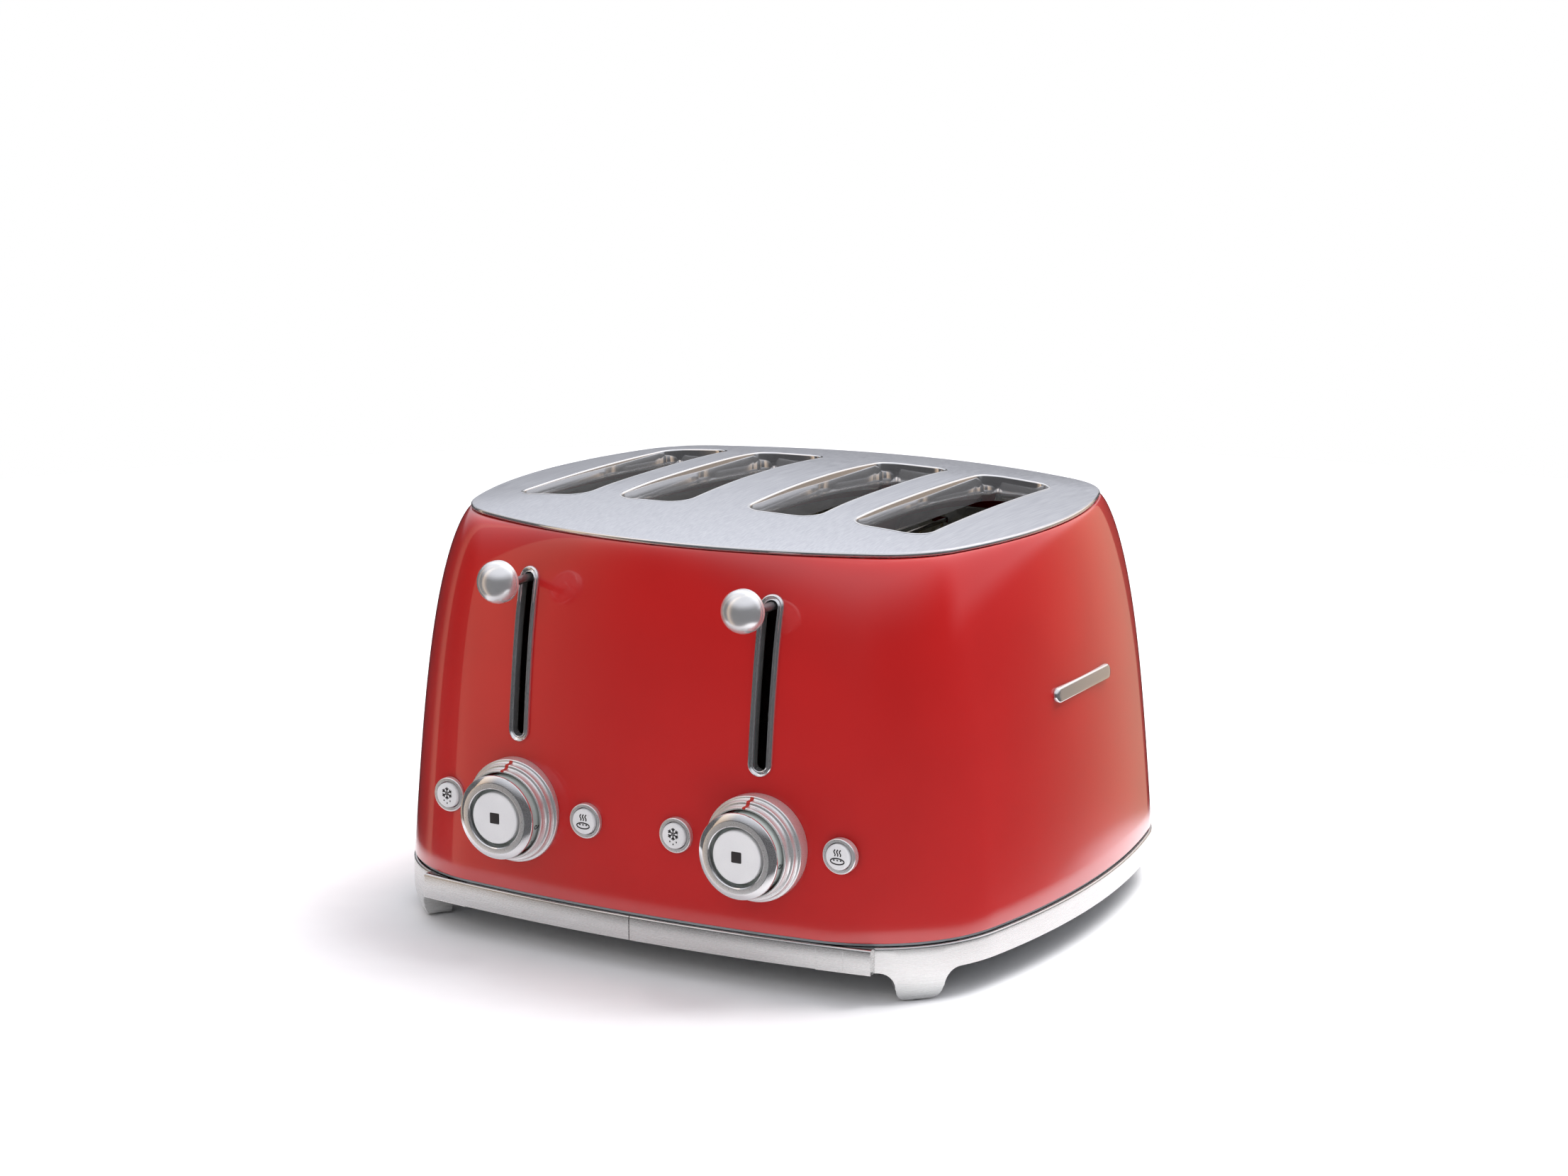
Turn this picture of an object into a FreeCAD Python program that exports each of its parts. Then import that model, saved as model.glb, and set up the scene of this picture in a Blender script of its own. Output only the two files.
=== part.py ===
import FreeCAD, Part
import math
import os
import re
import Sketcher

# Four-slot pop-up toaster: an assembly of separate pieces, in millimetres.
# +X is the user's right, -Y is the front with the levers and dials, +Z is up.
# Pieces are drawn about the middle of the body, on the plane the feet stand on, and
# every sub-part is then placed by origin_shift, which centres the whole outline.

doc = FreeCAD.newDocument("toaster")
Vector = FreeCAD.Vector

# ---------------------------------------------------------------- driving sizes

SIZES = {
    # body outline, seen from above, at the bottom and at the top of the enamelled shell
    "body_width": 334.0,
    "body_depth": 305.0,
    "top_width": 290.0,
    "top_depth": 263.0,
    "front_bow_base": 837.0,
    "side_bow_base": 434.0,
    "corner_base": 72.0,
    "front_bow_top": 258.0,
    "side_bow_top": 246.0,
    "corner_top": 48.0,
    "shell_base": 28.5,
    "shell_top": 198.0,
    "shell_wall": 1.2,
    "shell_flange": 3.5,
    # how the wall leans in: straight share, then the power and root of the shoulder
    "taper_share": 0.53,
    "shoulder_power": 3.46,
    "shoulder_root": 1.39,
    # top plate
    "plate_rim": 2.6,
    "dome_rise": 9.8,
    "plate_wall": 1.5,
    "collar_bottom": 193.0,
    "collar_wall": 1.0,
    # bread slots
    "slot_length": 145.0,
    "slot_width": 38.0,
    "slot_corner": 10.0,
    "slot_inner": 35.4,
    "slot_outer": 91.9,
    "slot_shift": -1.8,
    # base band, feet and trays
    "band_bottom": 15.0,
    "band_top": 26.8,
    "band_wall": 2.0,
    "band_proud": 0.4,
    "leg_half": 11.8,
    "leg_flare": 8.0,
    "leg_round": 4.5,
    "leg_thick": 15.0,
    "leg_tuck": 3.6,
    "pad_radius": 4.5,
    "pad_stand": 0.8,
    "pad_sunk": 1.6,
    "floor_base": 16.8,
    "floor_wall": 1.2,
    "tray_half": 121.4,
    "tray_seam": 0.2,
    "tray_back": 136.0,
    "tray_inner": 5.0,
    "tray_outer": 117.0,
    "tray_rear": 78.0,
    "tray_wall": 0.8,
    "tray_height": 6.6,
    "frame_base": 26.0,
    "frame_wall": 1.0,
    "frame_inset": 5.0,
    "post_across": 134.0,
    "post_along": 100.0,
    "post_radius": 4.0,
    "screw_radius": 1.5,
    "screw_head": 3.2,
    # inner chassis
    "sheet": 1.0,
    "bulkhead_half": 124.0,
    "bulkhead_top": 188.0,
    "bulkhead_gap": 4.0,
    "shield_across": 121.0,
    "board_thick": 0.8,
    "board_out": 24.2,
    "board_low": 46.0,
    "board_high": 166.0,
    "ribbon_thick": 0.3,
    "ribbon_wide": 2.0,
    "ribbon_runs": 11.0,
    # lift carriages
    "lever_across": 64.9,
    "lever_rest": 176.8,
    "lift_travel": 70.0,
    "arm_radius": 2.0,
    "arm_grip": 2.4,
    "ball_radius": 10.25,
    "ball_rise": 2.5,
    "ball_front": 158.5,
    "ball_edge": 2.4,
    "ball_flat": 2.2,
    "ball_bevel": 1.0,
    "slot_end_low": 100.2,
    "slot_end_high": 182.0,
    "bezel_width": 11.6,
    "bezel_bore": 6.2,
    "bezel_proud": 1.4,
    "carriage_front": 92.0,
    "carriage_thick": 2.0,
    "carriage_half": 20.0,
    "rack_rest": 104.0,
    "rack_height": 6.0,
    "rack_thick": 3.0,
    "rack_finger": 6.5,
    "guide_rod_radius": 3.0,
    "guide_rod_off": 13.0,
    "spring_radius": 3.5,
    "spring_wire": 0.8,
    "keeper_rest": 120.0,
    "bracket_base": 185.0,
    # bread guides
    "guard_open": 14.0,
    "guard_travel": 6.0,
    "guard_wire": 0.8,
    "guard_weld": 1.1,
    "guard_rod": 1.1,
    "guard_low": 44.0,
    "guard_high": 180.0,
    # dials and buttons
    "dial_height": 67.9,
    "dial_bezel_radius": 24.8,
    "dial_tier_radius": 23.2,
    "dial_collar_radius": 21.4,
    "dial_bezel_bore": 20.3,
    "dial_bezel_front": 159.1,
    "dial_collar_back": 156.0,
    "dial_tier_front": 155.0,
    "dial_tier_back": 152.5,
    "dial_flange_front": 151.2,
    "skirt_radius": 19.0,
    "skirt_back": 150.4,
    "cap_radius": 20.1,
    "cap_back": 163.3,
    "cap_front": 166.5,
    "cap_bevel": 3.2,
    "cap_bevel_long": 1.8,
    "cap_bore": 14.1,
    "cap_floor": 160.0,
    "stop_radius": 12.35,
    "stop_front": 166.0,
    "stop_thick": 3.6,
    "stop_travel": 1.8,
    "stop_plunger": 2.0,
    "shaft_radius": 5.0,
    "shaft_bore": 2.5,
    "button_height": 68.6,
    "button_spread": 40.6,
    "button_ring": 8.3,
    "button_ring_bore": 6.5,
    "button_ring_proud": 2.4,
    "button_cap": 6.1,
    "button_cap_proud": 3.6,
    "button_travel": 1.8,
    # boards and electrical parts
    "board_front": 120.0,
    "circuit_thick": 1.6,
    "circuit_low": 46.0,
    "circuit_high": 92.0,
    "circuit_inner": 14.0,
    "circuit_outer": 114.0,
    "switch_height": 2.4,
    "gland_height": 44.0,
    "gland_radius": 8.0,
    "gland_bore": 3.6,
    "gland_proud": 7.2,
    "gland_neck": 10.0,
    "trim_height": 124.0,
    "trim_length": 62.0,
    "trim_width": 7.0,
    "trim_proud": 2.2,
    # clearances
    "slip": 0.02,
    "snug": 0.1,
    "seat": 0.3,
    "free": 0.5,
}

sheet = doc.addObject("Spreadsheet::Sheet", "Sizes")
for row, (word, value) in enumerate(SIZES.items(), start=1):
    sheet.set(f"A{row}", word)
    sheet.set(f"B{row}", str(value))
    sheet.setAlias(f"B{row}", word)
doc.recompute()

plan = doc.addObject("App::VarSet", "Plan")
PLAN_WORDS = []


def scoped(formula):
    """Write a formula's words as references to the sheet or to the plan."""
    def swap(match):
        word = match.group(0)
        if word in SIZES:
            return "Sizes." + word
        if word in PLAN_WORDS:
            return "Plan." + word
        return word
    return re.sub(r"[a-z][a-z_]*", swap, str(formula))


def size(word):
    """The present value of a driving size or of a planned one."""
    return float(sheet.get(word)) if word in SIZES else float(getattr(plan, word))


def planned(word, formula):
    """Add a size worked out from others, for formulas and for drawing code alike."""
    plan.addProperty("App::PropertyFloat", word)
    plan.setExpression(word, scoped(formula))
    PLAN_WORDS.append(word)


def measured(word, value):
    """Add a size read off the shell's own curve."""
    plan.addProperty("App::PropertyFloat", word)
    setattr(plan, word, value)
    PLAN_WORDS.append(word)


def bind(thing, **formulas):
    for prop, formula in formulas.items():
        thing.setExpression(prop.replace("__", "."), scoped(formula))


def move_to(thing, x="0", y="0", z="0"):
    bind(thing, Placement__Base__x=x, Placement__Base__y=y, Placement__Base__z=z)


# ---------------------------------------------------------------- the body's curve

def lean(z):
    """How far the outline has gone from its bottom size (0) to its top size (1)."""
    up = (z - size("shell_base")) / (size("shell_top") - size("shell_base"))
    up = min(max(up, 0.0), 1.0)
    straight = size("taper_share")
    round_in = 1 - (1 - up ** size("shoulder_power")) ** (1 / size("shoulder_root"))
    return straight * up + (1 - straight) * round_in


def outline_sizes(share, inset):
    """Half width, half depth, front bow, side bow and corner radius of one outline."""
    pairs = (
        (size("body_width") / 2, size("top_width") / 2),
        (size("body_depth") / 2, size("top_depth") / 2),
        (size("front_bow_base"), size("front_bow_top")),
        (size("side_bow_base"), size("side_bow_top")),
        (size("corner_base"), size("corner_top")),
    )
    return [low + (high - low) * share - inset for low, high in pairs]


def corner_centre(half_wide, half_deep, front_bow, side_bow, corner):
    """Centre of the corner arc that is tangent to the front bow and to the side bow."""
    reach_front = front_bow - corner
    reach_side = side_bow - corner
    front_y = half_deep - front_bow
    side_x = half_wide - side_bow
    apart = math.hypot(side_x, front_y)
    along = (reach_front ** 2 - reach_side ** 2 + apart ** 2) / (2 * apart)
    off = math.sqrt(reach_front ** 2 - along ** 2)
    step_x, step_y = side_x / apart, -front_y / apart
    first = (along * step_x + off * step_y, front_y + along * step_y - off * step_x)
    second = (along * step_x - off * step_y, front_y + along * step_y + off * step_x)
    return max(first, second)


def outline_wire(sizes, z):
    """A closed outline of eight tangent arcs: four bowed sides and four corners."""
    half_wide, half_deep, front_bow, side_bow, corner = sizes
    cx, cy = corner_centre(*sizes)
    front_y = half_deep - front_bow
    side_x = half_wide - side_bow
    steep = math.atan2(cy - front_y, cx)
    flat = math.atan2(cy, cx - side_x)

    def on(centre_x, centre_y, radius, angle):
        return (centre_x + radius * math.cos(angle), centre_y + radius * math.sin(angle))

    side_end = on(side_x, 0, side_bow, flat)
    corner_mid = on(cx, cy, corner, (steep + flat) / 2)
    front_end = on(0, front_y, front_bow, steep)
    right = (half_wide, 0)
    rear = (0, half_deep)

    def at(point, sign_x, sign_y):
        return Vector(sign_x * point[0], sign_y * point[1], z)

    stations = [
        (at(side_end, 1, -1), at(right, 1, 1), at(side_end, 1, 1)),
        (at(side_end, 1, 1), at(corner_mid, 1, 1), at(front_end, 1, 1)),
        (at(front_end, 1, 1), at(rear, 1, 1), at(front_end, -1, 1)),
        (at(front_end, -1, 1), at(corner_mid, -1, 1), at(side_end, -1, 1)),
        (at(side_end, -1, 1), at(right, -1, 1), at(side_end, -1, -1)),
        (at(side_end, -1, -1), at(corner_mid, -1, -1), at(front_end, -1, -1)),
        (at(front_end, -1, -1), at(rear, 1, -1), at(front_end, 1, -1)),
        (at(front_end, 1, -1), at(corner_mid, 1, -1), at(side_end, 1, -1)),
    ]
    return Part.Wire([Part.Arc(*three).toShape() for three in stations])


def outline_prism(share, inset, low, high):
    face = Part.Face(outline_wire(outline_sizes(share, inset), low))
    return face.extrude(Vector(0, 0, high - low))


def shell_loft(inset, top_z):
    """The leaning body as a solid, held off the outer face by inset."""
    base = size("shell_base")
    steps = 8
    wires = []
    for step in range(steps + 1):
        share_up = 1 - (1 - step / steps) ** 1.7
        share = lean(base + share_up * (size("shell_top") - base))
        wires.append(outline_wire(outline_sizes(share, inset), base + share_up * (top_z - base)))
    return Part.makeLoft(wires, True, False)


def front_face(x, z):
    """Y of the shell's front face at x and z, as a positive distance."""
    half_wide, half_deep, front_bow, side_bow, corner = outline_sizes(lean(z), 0)
    return half_deep - front_bow + math.sqrt(front_bow ** 2 - x ** 2)


# ---------------------------------------------------------------- planned sizes

doc.recompute()
planned("front_reach", "ball_front + ball_radius")
measured("gland_face", front_face(0, size("gland_height") - size("gland_radius")))
planned("rear_reach", "gland_face + gland_proud")
planned("origin_shift", "(front_reach - rear_reach) / 2")
planned("bulkhead_front", "slot_length / 2 - slot_shift + bulkhead_gap")
planned("bulkhead_rear", "slot_length / 2 + slot_shift + bulkhead_gap")
planned("frame_top", "frame_base + frame_wall")
planned("floor_top", "floor_base + floor_wall")
planned("tray_floor", "floor_top + seat")
planned("board_middle", "(slot_inner + slot_outer) / 2")
planned("board_inner", "slot_inner - board_out")
planned("board_outer", "slot_outer + board_out")
planned("carriage_back", "carriage_front - carriage_thick")
planned("rod_across", "lever_across - guide_rod_off")
planned("spring_across", "lever_across + guide_rod_off")
planned("rod_front", "carriage_front + 7")
planned("magnet_across", "lever_across - 5.5")
planned("keeper_low", "keeper_rest - lift_travel")
planned("collar_radius", "sqrt(ball_radius ^ 2 - ball_edge ^ 2)")
planned("lever_top", "lever_rest + 5")
for side_word, sign in (("inner", -1), ("outer", 1)):
    across = size("lever_across") + sign * size("button_spread")
    measured(f"button_face_{side_word}", front_face(across, size("button_height")))
doc.recompute()


# ---------------------------------------------------------------- drawing helpers

NODES = []
TURN_TO_Y = FreeCAD.Rotation(Vector(1, 0, 0), -90)
TURN_TO_X = FreeCAD.Rotation(Vector(0, 1, 0), 90)
TURNS = {"x": TURN_TO_X, "y": TURN_TO_Y, "z": FreeCAD.Rotation()}


def block(xs, ys, zs):
    """A box between two formulas along each axis."""
    box = doc.addObject("Part::Box", "block")
    bind(box, Length=f"({xs[1]}) - ({xs[0]})", Width=f"({ys[1]}) - ({ys[0]})")
    bind(box, Height=f"({zs[1]}) - ({zs[0]})")
    move_to(box, xs[0], ys[0], zs[0])
    return box


def rod(axis, start, radius, length):
    """A cylinder from its start point along +X, +Y or +Z."""
    bar = doc.addObject("Part::Cylinder", "rod")
    bar.Placement = FreeCAD.Placement(Vector(), TURNS[axis])
    bind(bar, Radius=radius, Height=length)
    move_to(bar, *start)
    return bar


def fused(pieces):
    whole = doc.addObject("Part::MultiFuse", "fused")
    whole.Shapes = pieces
    return whole


def grouped(pieces):
    whole = doc.addObject("Part::Compound", "grouped")
    whole.Links = pieces
    return whole


def cut(base, tools):
    """The base less one tool or several."""
    result = doc.addObject("Part::Cut", "cut")
    result.Base = base
    result.Tool = tools[0] if len(tools) == 1 else grouped(tools)
    return result


def mirrored(source):
    """The same piece on the other side of the toaster."""
    copy = doc.addObject("Part::Mirroring", "mirrored")
    copy.Source = source
    copy.Normal = Vector(1, 0, 0)
    return copy


def node(label, thing):
    """Name a finished sub-part and place it from the middle of the outline."""
    thing.Label = label
    bind(thing, Placement__Base__y="origin_shift")
    NODES.append(thing)
    return thing


def drawn(label, shape):
    """A sub-part whose curved shape is worked out by drawing code."""
    thing = doc.addObject("Part::Feature", label)
    thing.Shape = shape
    thing.Placement = FreeCAD.Placement(Vector(0, size("origin_shift"), 0), FreeCAD.Rotation())
    thing.Label = label
    NODES.append(thing)
    return thing


def left_and_right(label, thing, left_label=None):
    """Name a right-hand piece and make its left-hand twin."""
    right = node(f"{label}_right", grouped([thing]))
    twin = mirrored(right)
    twin.Label = f"{left_label or label}_left"
    NODES.append(twin)


def paired(label, thing):
    """Both copies of a fixed piece, left and right, as one sub-part."""
    node(label, grouped([thing, mirrored(thing)]))


def origin_plane(body, role):
    return [item for item in body.Origin.OriginFeatures if item.Role == role][0]


def closed_sketch(body, role, points):
    """A closed straight-sided sketch whose corners are held by formulas."""
    sketch = body.newObject("Sketcher::SketchObject", "profile")
    sketch.AttachmentSupport = [(origin_plane(body, role), "")]
    sketch.MapMode = "FlatFace"
    count = len(points)
    around = [2 * math.pi * number / count for number in range(count + 1)]
    seeds = [Vector(30 * math.cos(angle), 30 * math.sin(angle), 0) for angle in around]
    for number in range(count):
        sketch.addGeometry(Part.LineSegment(seeds[number], seeds[number + 1]))
    for number in range(count):
        sketch.addConstraint(Sketcher.Constraint("Coincident", number, 2, (number + 1) % count, 1))
    for number, corner in enumerate(points):
        for kind, formula in zip(("DistanceX", "DistanceY"), corner):
            held = sketch.addConstraint(Sketcher.Constraint(kind, -1, 1, number, 1, 1.0))
            sketch.setExpression(f"Constraints[{held}]", scoped(formula))
    return sketch


def turned(profile, role="XY_Plane"):
    """A body of revolution about its own Y axis, or about Z from the XZ plane."""
    body = doc.addObject("PartDesign::Body", "turned")
    sketch = closed_sketch(body, role, profile)
    spun = body.newObject("PartDesign::Revolution", "spun")
    spun.Profile = sketch
    spun.ReferenceAxis = (sketch, ["V_Axis"])
    spun.Angle = 360
    sketch.Visibility = False
    return body


# ---------------------------------------------------------------- body panels

def rounded_prism(centre, half, corner, low, high):
    """An upright prism on a rounded rectangle."""
    (cx, cy), (hx, hy) = centre, half
    slant = corner * (1 - math.sqrt(0.5))
    edges = []
    for sign_x, sign_y in ((1, -1), (1, 1), (-1, 1), (-1, -1)):
        side = Vector(cx + sign_x * hx, cy + sign_y * (hy - corner), low)
        tip = Vector(cx + sign_x * (hx - slant), cy + sign_y * (hy - slant), low)
        end = Vector(cx + sign_x * (hx - corner), cy + sign_y * hy, low)
        turn = (side, tip, end) if sign_x * sign_y > 0 else (end, tip, side)
        edges.append(turn)
    wire = []
    for number, turn in enumerate(edges):
        wire.append(Part.Arc(*turn).toShape())
        wire.append(Part.LineSegment(turn[2], edges[(number + 1) % 4][0]).toShape())
    return Part.Face(Part.Wire(wire)).extrude(Vector(0, 0, high - low))


def upright_slot(width, inset):
    """A bar with round ends that runs along Y through the front of the body."""
    half = width / 2
    low = size("slot_end_low") + inset + half
    high = size("slot_end_high") - inset - half
    across = size("lever_across")
    deep = size("body_depth") / 2 + 20
    bar = Part.makeBox(width, deep, high - low, Vector(across - half, -deep, low))
    ends = [Part.makeCylinder(half, deep, Vector(across, -deep, z), Vector(0, 1, 0)) for z in (low, high)]
    return bar.fuse(ends).removeSplitter()


def mirror_x(shape):
    return shape.mirror(Vector(0, 0, 0), Vector(1, 0, 0))


def both_sides(shapes):
    return list(shapes) + [mirror_x(shape) for shape in shapes]


def along_y(x, z, radius, length=400.0):
    """A drill through the front of the body, parallel to Y."""
    return Part.makeCylinder(radius, length, Vector(x, -length, z), Vector(0, 1, 0))


def slot_centres():
    inner, outer = size("slot_inner"), size("slot_outer")
    return [(x, size("slot_shift")) for x in (-outer, -inner, inner, outer)]


def button_spots():
    """The four push buttons: x, z and the shell's face there."""
    spots = []
    for word, sign in (("inner", -1), ("outer", 1)):
        x = size("lever_across") + sign * size("button_spread")
        spots.append((x, size("button_height"), size(f"button_face_{word}")))
    return spots


def outer_shell():
    """Pressed and enamelled wrap-round shell with a narrow flange for the top plate."""
    wall = size("shell_wall")
    solid = shell_loft(0, size("shell_top")).cut(shell_loft(wall, size("shell_top") - wall))
    mouth = outline_prism(1, size("shell_flange"), size("shell_top") - 3 * wall, size("shell_top") + 1)
    holes = both_sides([upright_slot(size("bezel_width") - 2, 1.0)])
    holes += both_sides([along_y(size("lever_across"), size("dial_height"), size("shaft_radius") + 1)])
    holes += both_sides([along_y(x, z, size("button_ring_bore")) for x, z, face in button_spots()])
    gland_start = Vector(0, size("body_depth") / 2 - 40, size("gland_height"))
    gland_hole = Part.makeCylinder(size("gland_radius") - 2, 60, gland_start, Vector(0, 1, 0))
    return solid.cut([mouth, gland_hole] + holes)


def dome_loft(inset, low, drop):
    """The top plate's crown as a solid: a short upright rim, then a shallow parabola."""
    sizes = outline_sizes(1.0, inset)
    rim_top = size("shell_top") + size("snug") + size("plate_rim") - drop
    rise = size("dome_rise")
    rim = Part.Face(outline_wire(sizes, low)).extrude(Vector(0, 0, rim_top - low))
    shares = (1.0, 0.86, 0.68, 0.5, 0.32, 0.15, 0.04)
    wires = []
    for share in shares:
        height = rim_top + rise * (1 - share ** 2)
        wires.append(outline_wire([value * share for value in sizes], height))
    crown = Part.makeLoft(wires, True, False)
    return rim.fuse(crown).removeSplitter()


def top_plate():
    """Domed plate with four bread slots, each with a turned-down collar."""
    bottom = size("shell_top") + size("snug")
    crown = dome_loft(0.2, bottom, 0)
    hollow = dome_loft(0.2 + size("plate_wall"), bottom, size("plate_wall"))
    collar_low = size("collar_bottom")
    half = (size("slot_width") / 2, size("slot_length") / 2)
    wall = size("collar_wall")
    roof = bottom + size("plate_rim") + size("dome_rise") + 5
    inner_depth = size("shell_flange") + 2
    reach = outline_prism(1.0, inner_depth, collar_low, bottom + 1).fuse(crown)
    collars = [
        rounded_prism(spot, (half[0] + wall, half[1] + wall), size("slot_corner") + wall, collar_low, roof)
        for spot in slot_centres()
    ]
    collars = [collar.common(reach) for collar in collars]
    corner = size("slot_corner")
    mouths = [rounded_prism(spot, half, corner, collar_low - 1, roof) for spot in slot_centres()]
    return crown.cut(hollow).fuse(collars).cut(mouths).removeSplitter()


def leg_profile(half, corner_point):
    """A foot's outline in its own upright plane, drawn through the corner of the band."""
    flare, bend = size("leg_flare"), size("leg_round")
    foot, top = size("pad_stand"), size("band_bottom")
    slant_out = flare * (1 - math.sqrt(0.5))
    slant_in = bend * (1 - math.sqrt(0.5))
    cover = top + size("band_wall") - 0.5

    def at(along, z):
        return Vector(corner_point[0] + along * math.sqrt(0.5), corner_point[1] + along * math.sqrt(0.5), z)

    side = []
    for sign in (-1, 1):
        side.append([
            at(sign * (half + flare), cover),
            at(sign * (half + flare), top),
            at(sign * (half + slant_out), top - slant_out),
            at(sign * half, top - flare),
            at(sign * (half - 0.6), foot + bend),
            at(sign * (half - 0.6 - slant_in), foot + slant_in),
            at(sign * (half - 0.6 - bend), foot),
        ])
    left, right = side
    edges = [
        Part.LineSegment(left[0], left[1]),
        Part.Arc(left[1], left[2], left[3]),
        Part.LineSegment(left[3], left[4]),
        Part.Arc(left[4], left[5], left[6]),
        Part.LineSegment(left[6], right[6]),
        Part.Arc(right[6], right[5], right[4]),
        Part.LineSegment(right[4], right[3]),
        Part.Arc(right[3], right[2], right[1]),
        Part.LineSegment(right[1], right[0]),
        Part.LineSegment(right[0], left[0]),
    ]
    return Part.Face(Part.Wire([edge.toShape() for edge in edges]))


def band_corner():
    """The point of the band's front right corner whose outward normal is at 45 degrees."""
    sizes = outline_sizes(0.0, -size("band_proud"))
    cx, cy = corner_centre(*sizes)
    return cx + sizes[4] * math.sqrt(0.5), -(cy + sizes[4] * math.sqrt(0.5))


def leg_loft(inset):
    """The band's outline going down and tucking in towards the floor."""
    top, foot = size("band_bottom") + size("band_wall") - 0.5, size("pad_stand")
    tuck = size("leg_tuck")
    wires = []
    for share, height in ((0, top), (0, size("band_bottom") - 2), (0.12, 8.0), (0.4, 3.6), (1, foot)):
        wires.append(outline_wire(outline_sizes(0.0, inset - size("band_proud") + tuck * share), height))
    return Part.makeLoft(wires, True, False)


def pad_spot():
    """Middle of a foot's underside, front right."""
    corner = band_corner()
    back = (size("leg_tuck") + size("leg_thick")) / 2 + 0.5
    return corner[0] - back * math.sqrt(0.5), corner[1] + back * math.sqrt(0.5)


def base_band():
    """Polished band that stands on four feet; its front is left open for the trays."""
    low, high = size("band_bottom"), size("band_top")
    proud = size("band_proud")
    ring = outline_prism(0, -proud, low, high)
    ring = ring.cut(outline_prism(0, size("band_wall") - proud, low - 1, high + 1))
    front = size("body_depth") / 2
    opening = Part.makeBox(
        2 * size("tray_half") + 2 * size("seat"), front - 100, high - low + 4,
        Vector(-size("tray_half") - size("seat"), -front - 10, low - size("seat")),
    )
    corner = band_corner()
    inward = Vector(-math.sqrt(0.5), math.sqrt(0.5), 0)
    profile = leg_profile(size("leg_half"), corner)
    profile.translate(-10 * inward)
    wedge = profile.extrude((10 + size("leg_thick")) * inward)
    leg = wedge.common(leg_loft(0))
    spot = pad_spot()
    recess = Part.makeCylinder(
        size("pad_radius") + size("snug"), size("pad_sunk"), Vector(spot[0], spot[1], size("pad_stand"))
    )
    leg = leg.cut(recess)
    legs = []
    for rear in (False, True):
        one = leg.mirror(Vector(0, 0, 0), Vector(0, 1, 0)) if rear else leg
        legs += [one, mirror_x(one)]
    return ring.fuse(legs).cut(opening).removeSplitter()


def seam_ring():
    """Thin ledge that shows as a line between the shell and the band."""
    low = size("band_top") + size("seat")
    high = size("shell_base") - size("snug")
    return outline_prism(0, 1.4, low, high).cut(outline_prism(0, 4.0, low - 1, high + 1))


def tray_front():
    """The part of the band that comes away with the right-hand crumb tray."""
    low, high = size("band_bottom"), size("band_top")
    proud, seam = size("band_proud"), size("tray_seam")
    whole = outline_prism(0, -proud, low, high)
    hollow = outline_prism(0, size("band_wall") - proud, low - 1, high + 1)
    behind = Part.makeBox(
        size("body_width"), size("body_depth"), high - low + 4, Vector(0, -size("tray_back"), low - 2)
    )
    depth = size("body_depth")
    window = Part.makeBox(size("tray_half") - seam, depth, high - low + 2, Vector(seam, -depth, low - 1))
    return whole.cut(hollow.common(behind)).common(window).removeSplitter()


def behind_trays(low):
    """The room behind the trays' front bars, from just below a height."""
    front = size("tray_back") - size("free")
    wide, deep = size("body_width"), size("body_depth")
    return Part.makeBox(wide, front + deep, 10, Vector(-wide / 2, -front, low - 2))


def base_floor():
    """Steel floor that carries the trays, screwed up into the base frame."""
    low, high = size("floor_base"), size("floor_base") + size("floor_wall")
    inset = size("band_wall") - size("band_proud") + size("seat")
    plate = outline_prism(0, inset, low, high).common(behind_trays(low))
    return plate.cut([screw_shank(x, y, 0.2) for x, y in post_spots()])


def post_spots():
    x, y = size("post_across"), size("post_along")
    return [(x, -y), (x, y), (-x, -y), (-x, y)]


def screw_shank(x, y, room):
    low = size("floor_base") - 2
    return Part.makeCylinder(size("screw_radius") + room, size("frame_base") - 3 - low, Vector(x, y, low))


def base_frame():
    """Flat frame over the trays with four posts; it carries the chassis and the shell."""
    low, high = size("frame_base"), size("frame_base") + size("frame_wall")
    plate = outline_prism(0, size("frame_inset"), low, high).common(behind_trays(low))
    inner, outer = size("tray_inner") + 7, size("tray_outer") - 2
    front, rear = size("bulkhead_front") - 4, size("bulkhead_rear") - 4
    windows = both_sides([
        Part.makeBox(outer - inner, front + rear, 4, Vector(inner, -front, low - 1)),
    ])
    base = size("floor_base") + size("floor_wall")
    radius = size("post_radius")
    posts = [Part.makeCylinder(radius, high - base, Vector(x, y, base)) for x, y in post_spots()]
    bores = [screw_shank(x, y, 0.05) for x, y in post_spots()]
    return plate.cut(windows).fuse(posts).cut(bores).removeSplitter()


def floor_screws():
    screws = []
    for x, y in post_spots():
        head = Part.makeCylinder(size("screw_head"), 1.2, Vector(x, y, size("floor_base") - 1.2))
        low = size("floor_base") - 1.2
        shank = Part.makeCylinder(size("screw_radius"), size("frame_base") - 3.2 - low, Vector(x, y, low))
        screws.append(head.fuse(shank).removeSplitter())
    return Part.makeCompound(screws)


def foot_pads():
    """Rubber pads let into the undersides of the four feet."""
    x, y = pad_spot()
    depth = size("pad_stand") + size("pad_sunk") - size("snug")
    pads = [
        Part.makeCylinder(size("pad_radius"), depth, Vector(sx * x, sy * y, 0))
        for sx in (1, -1) for sy in (1, -1)
    ]
    return Part.makeCompound(pads)


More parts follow.
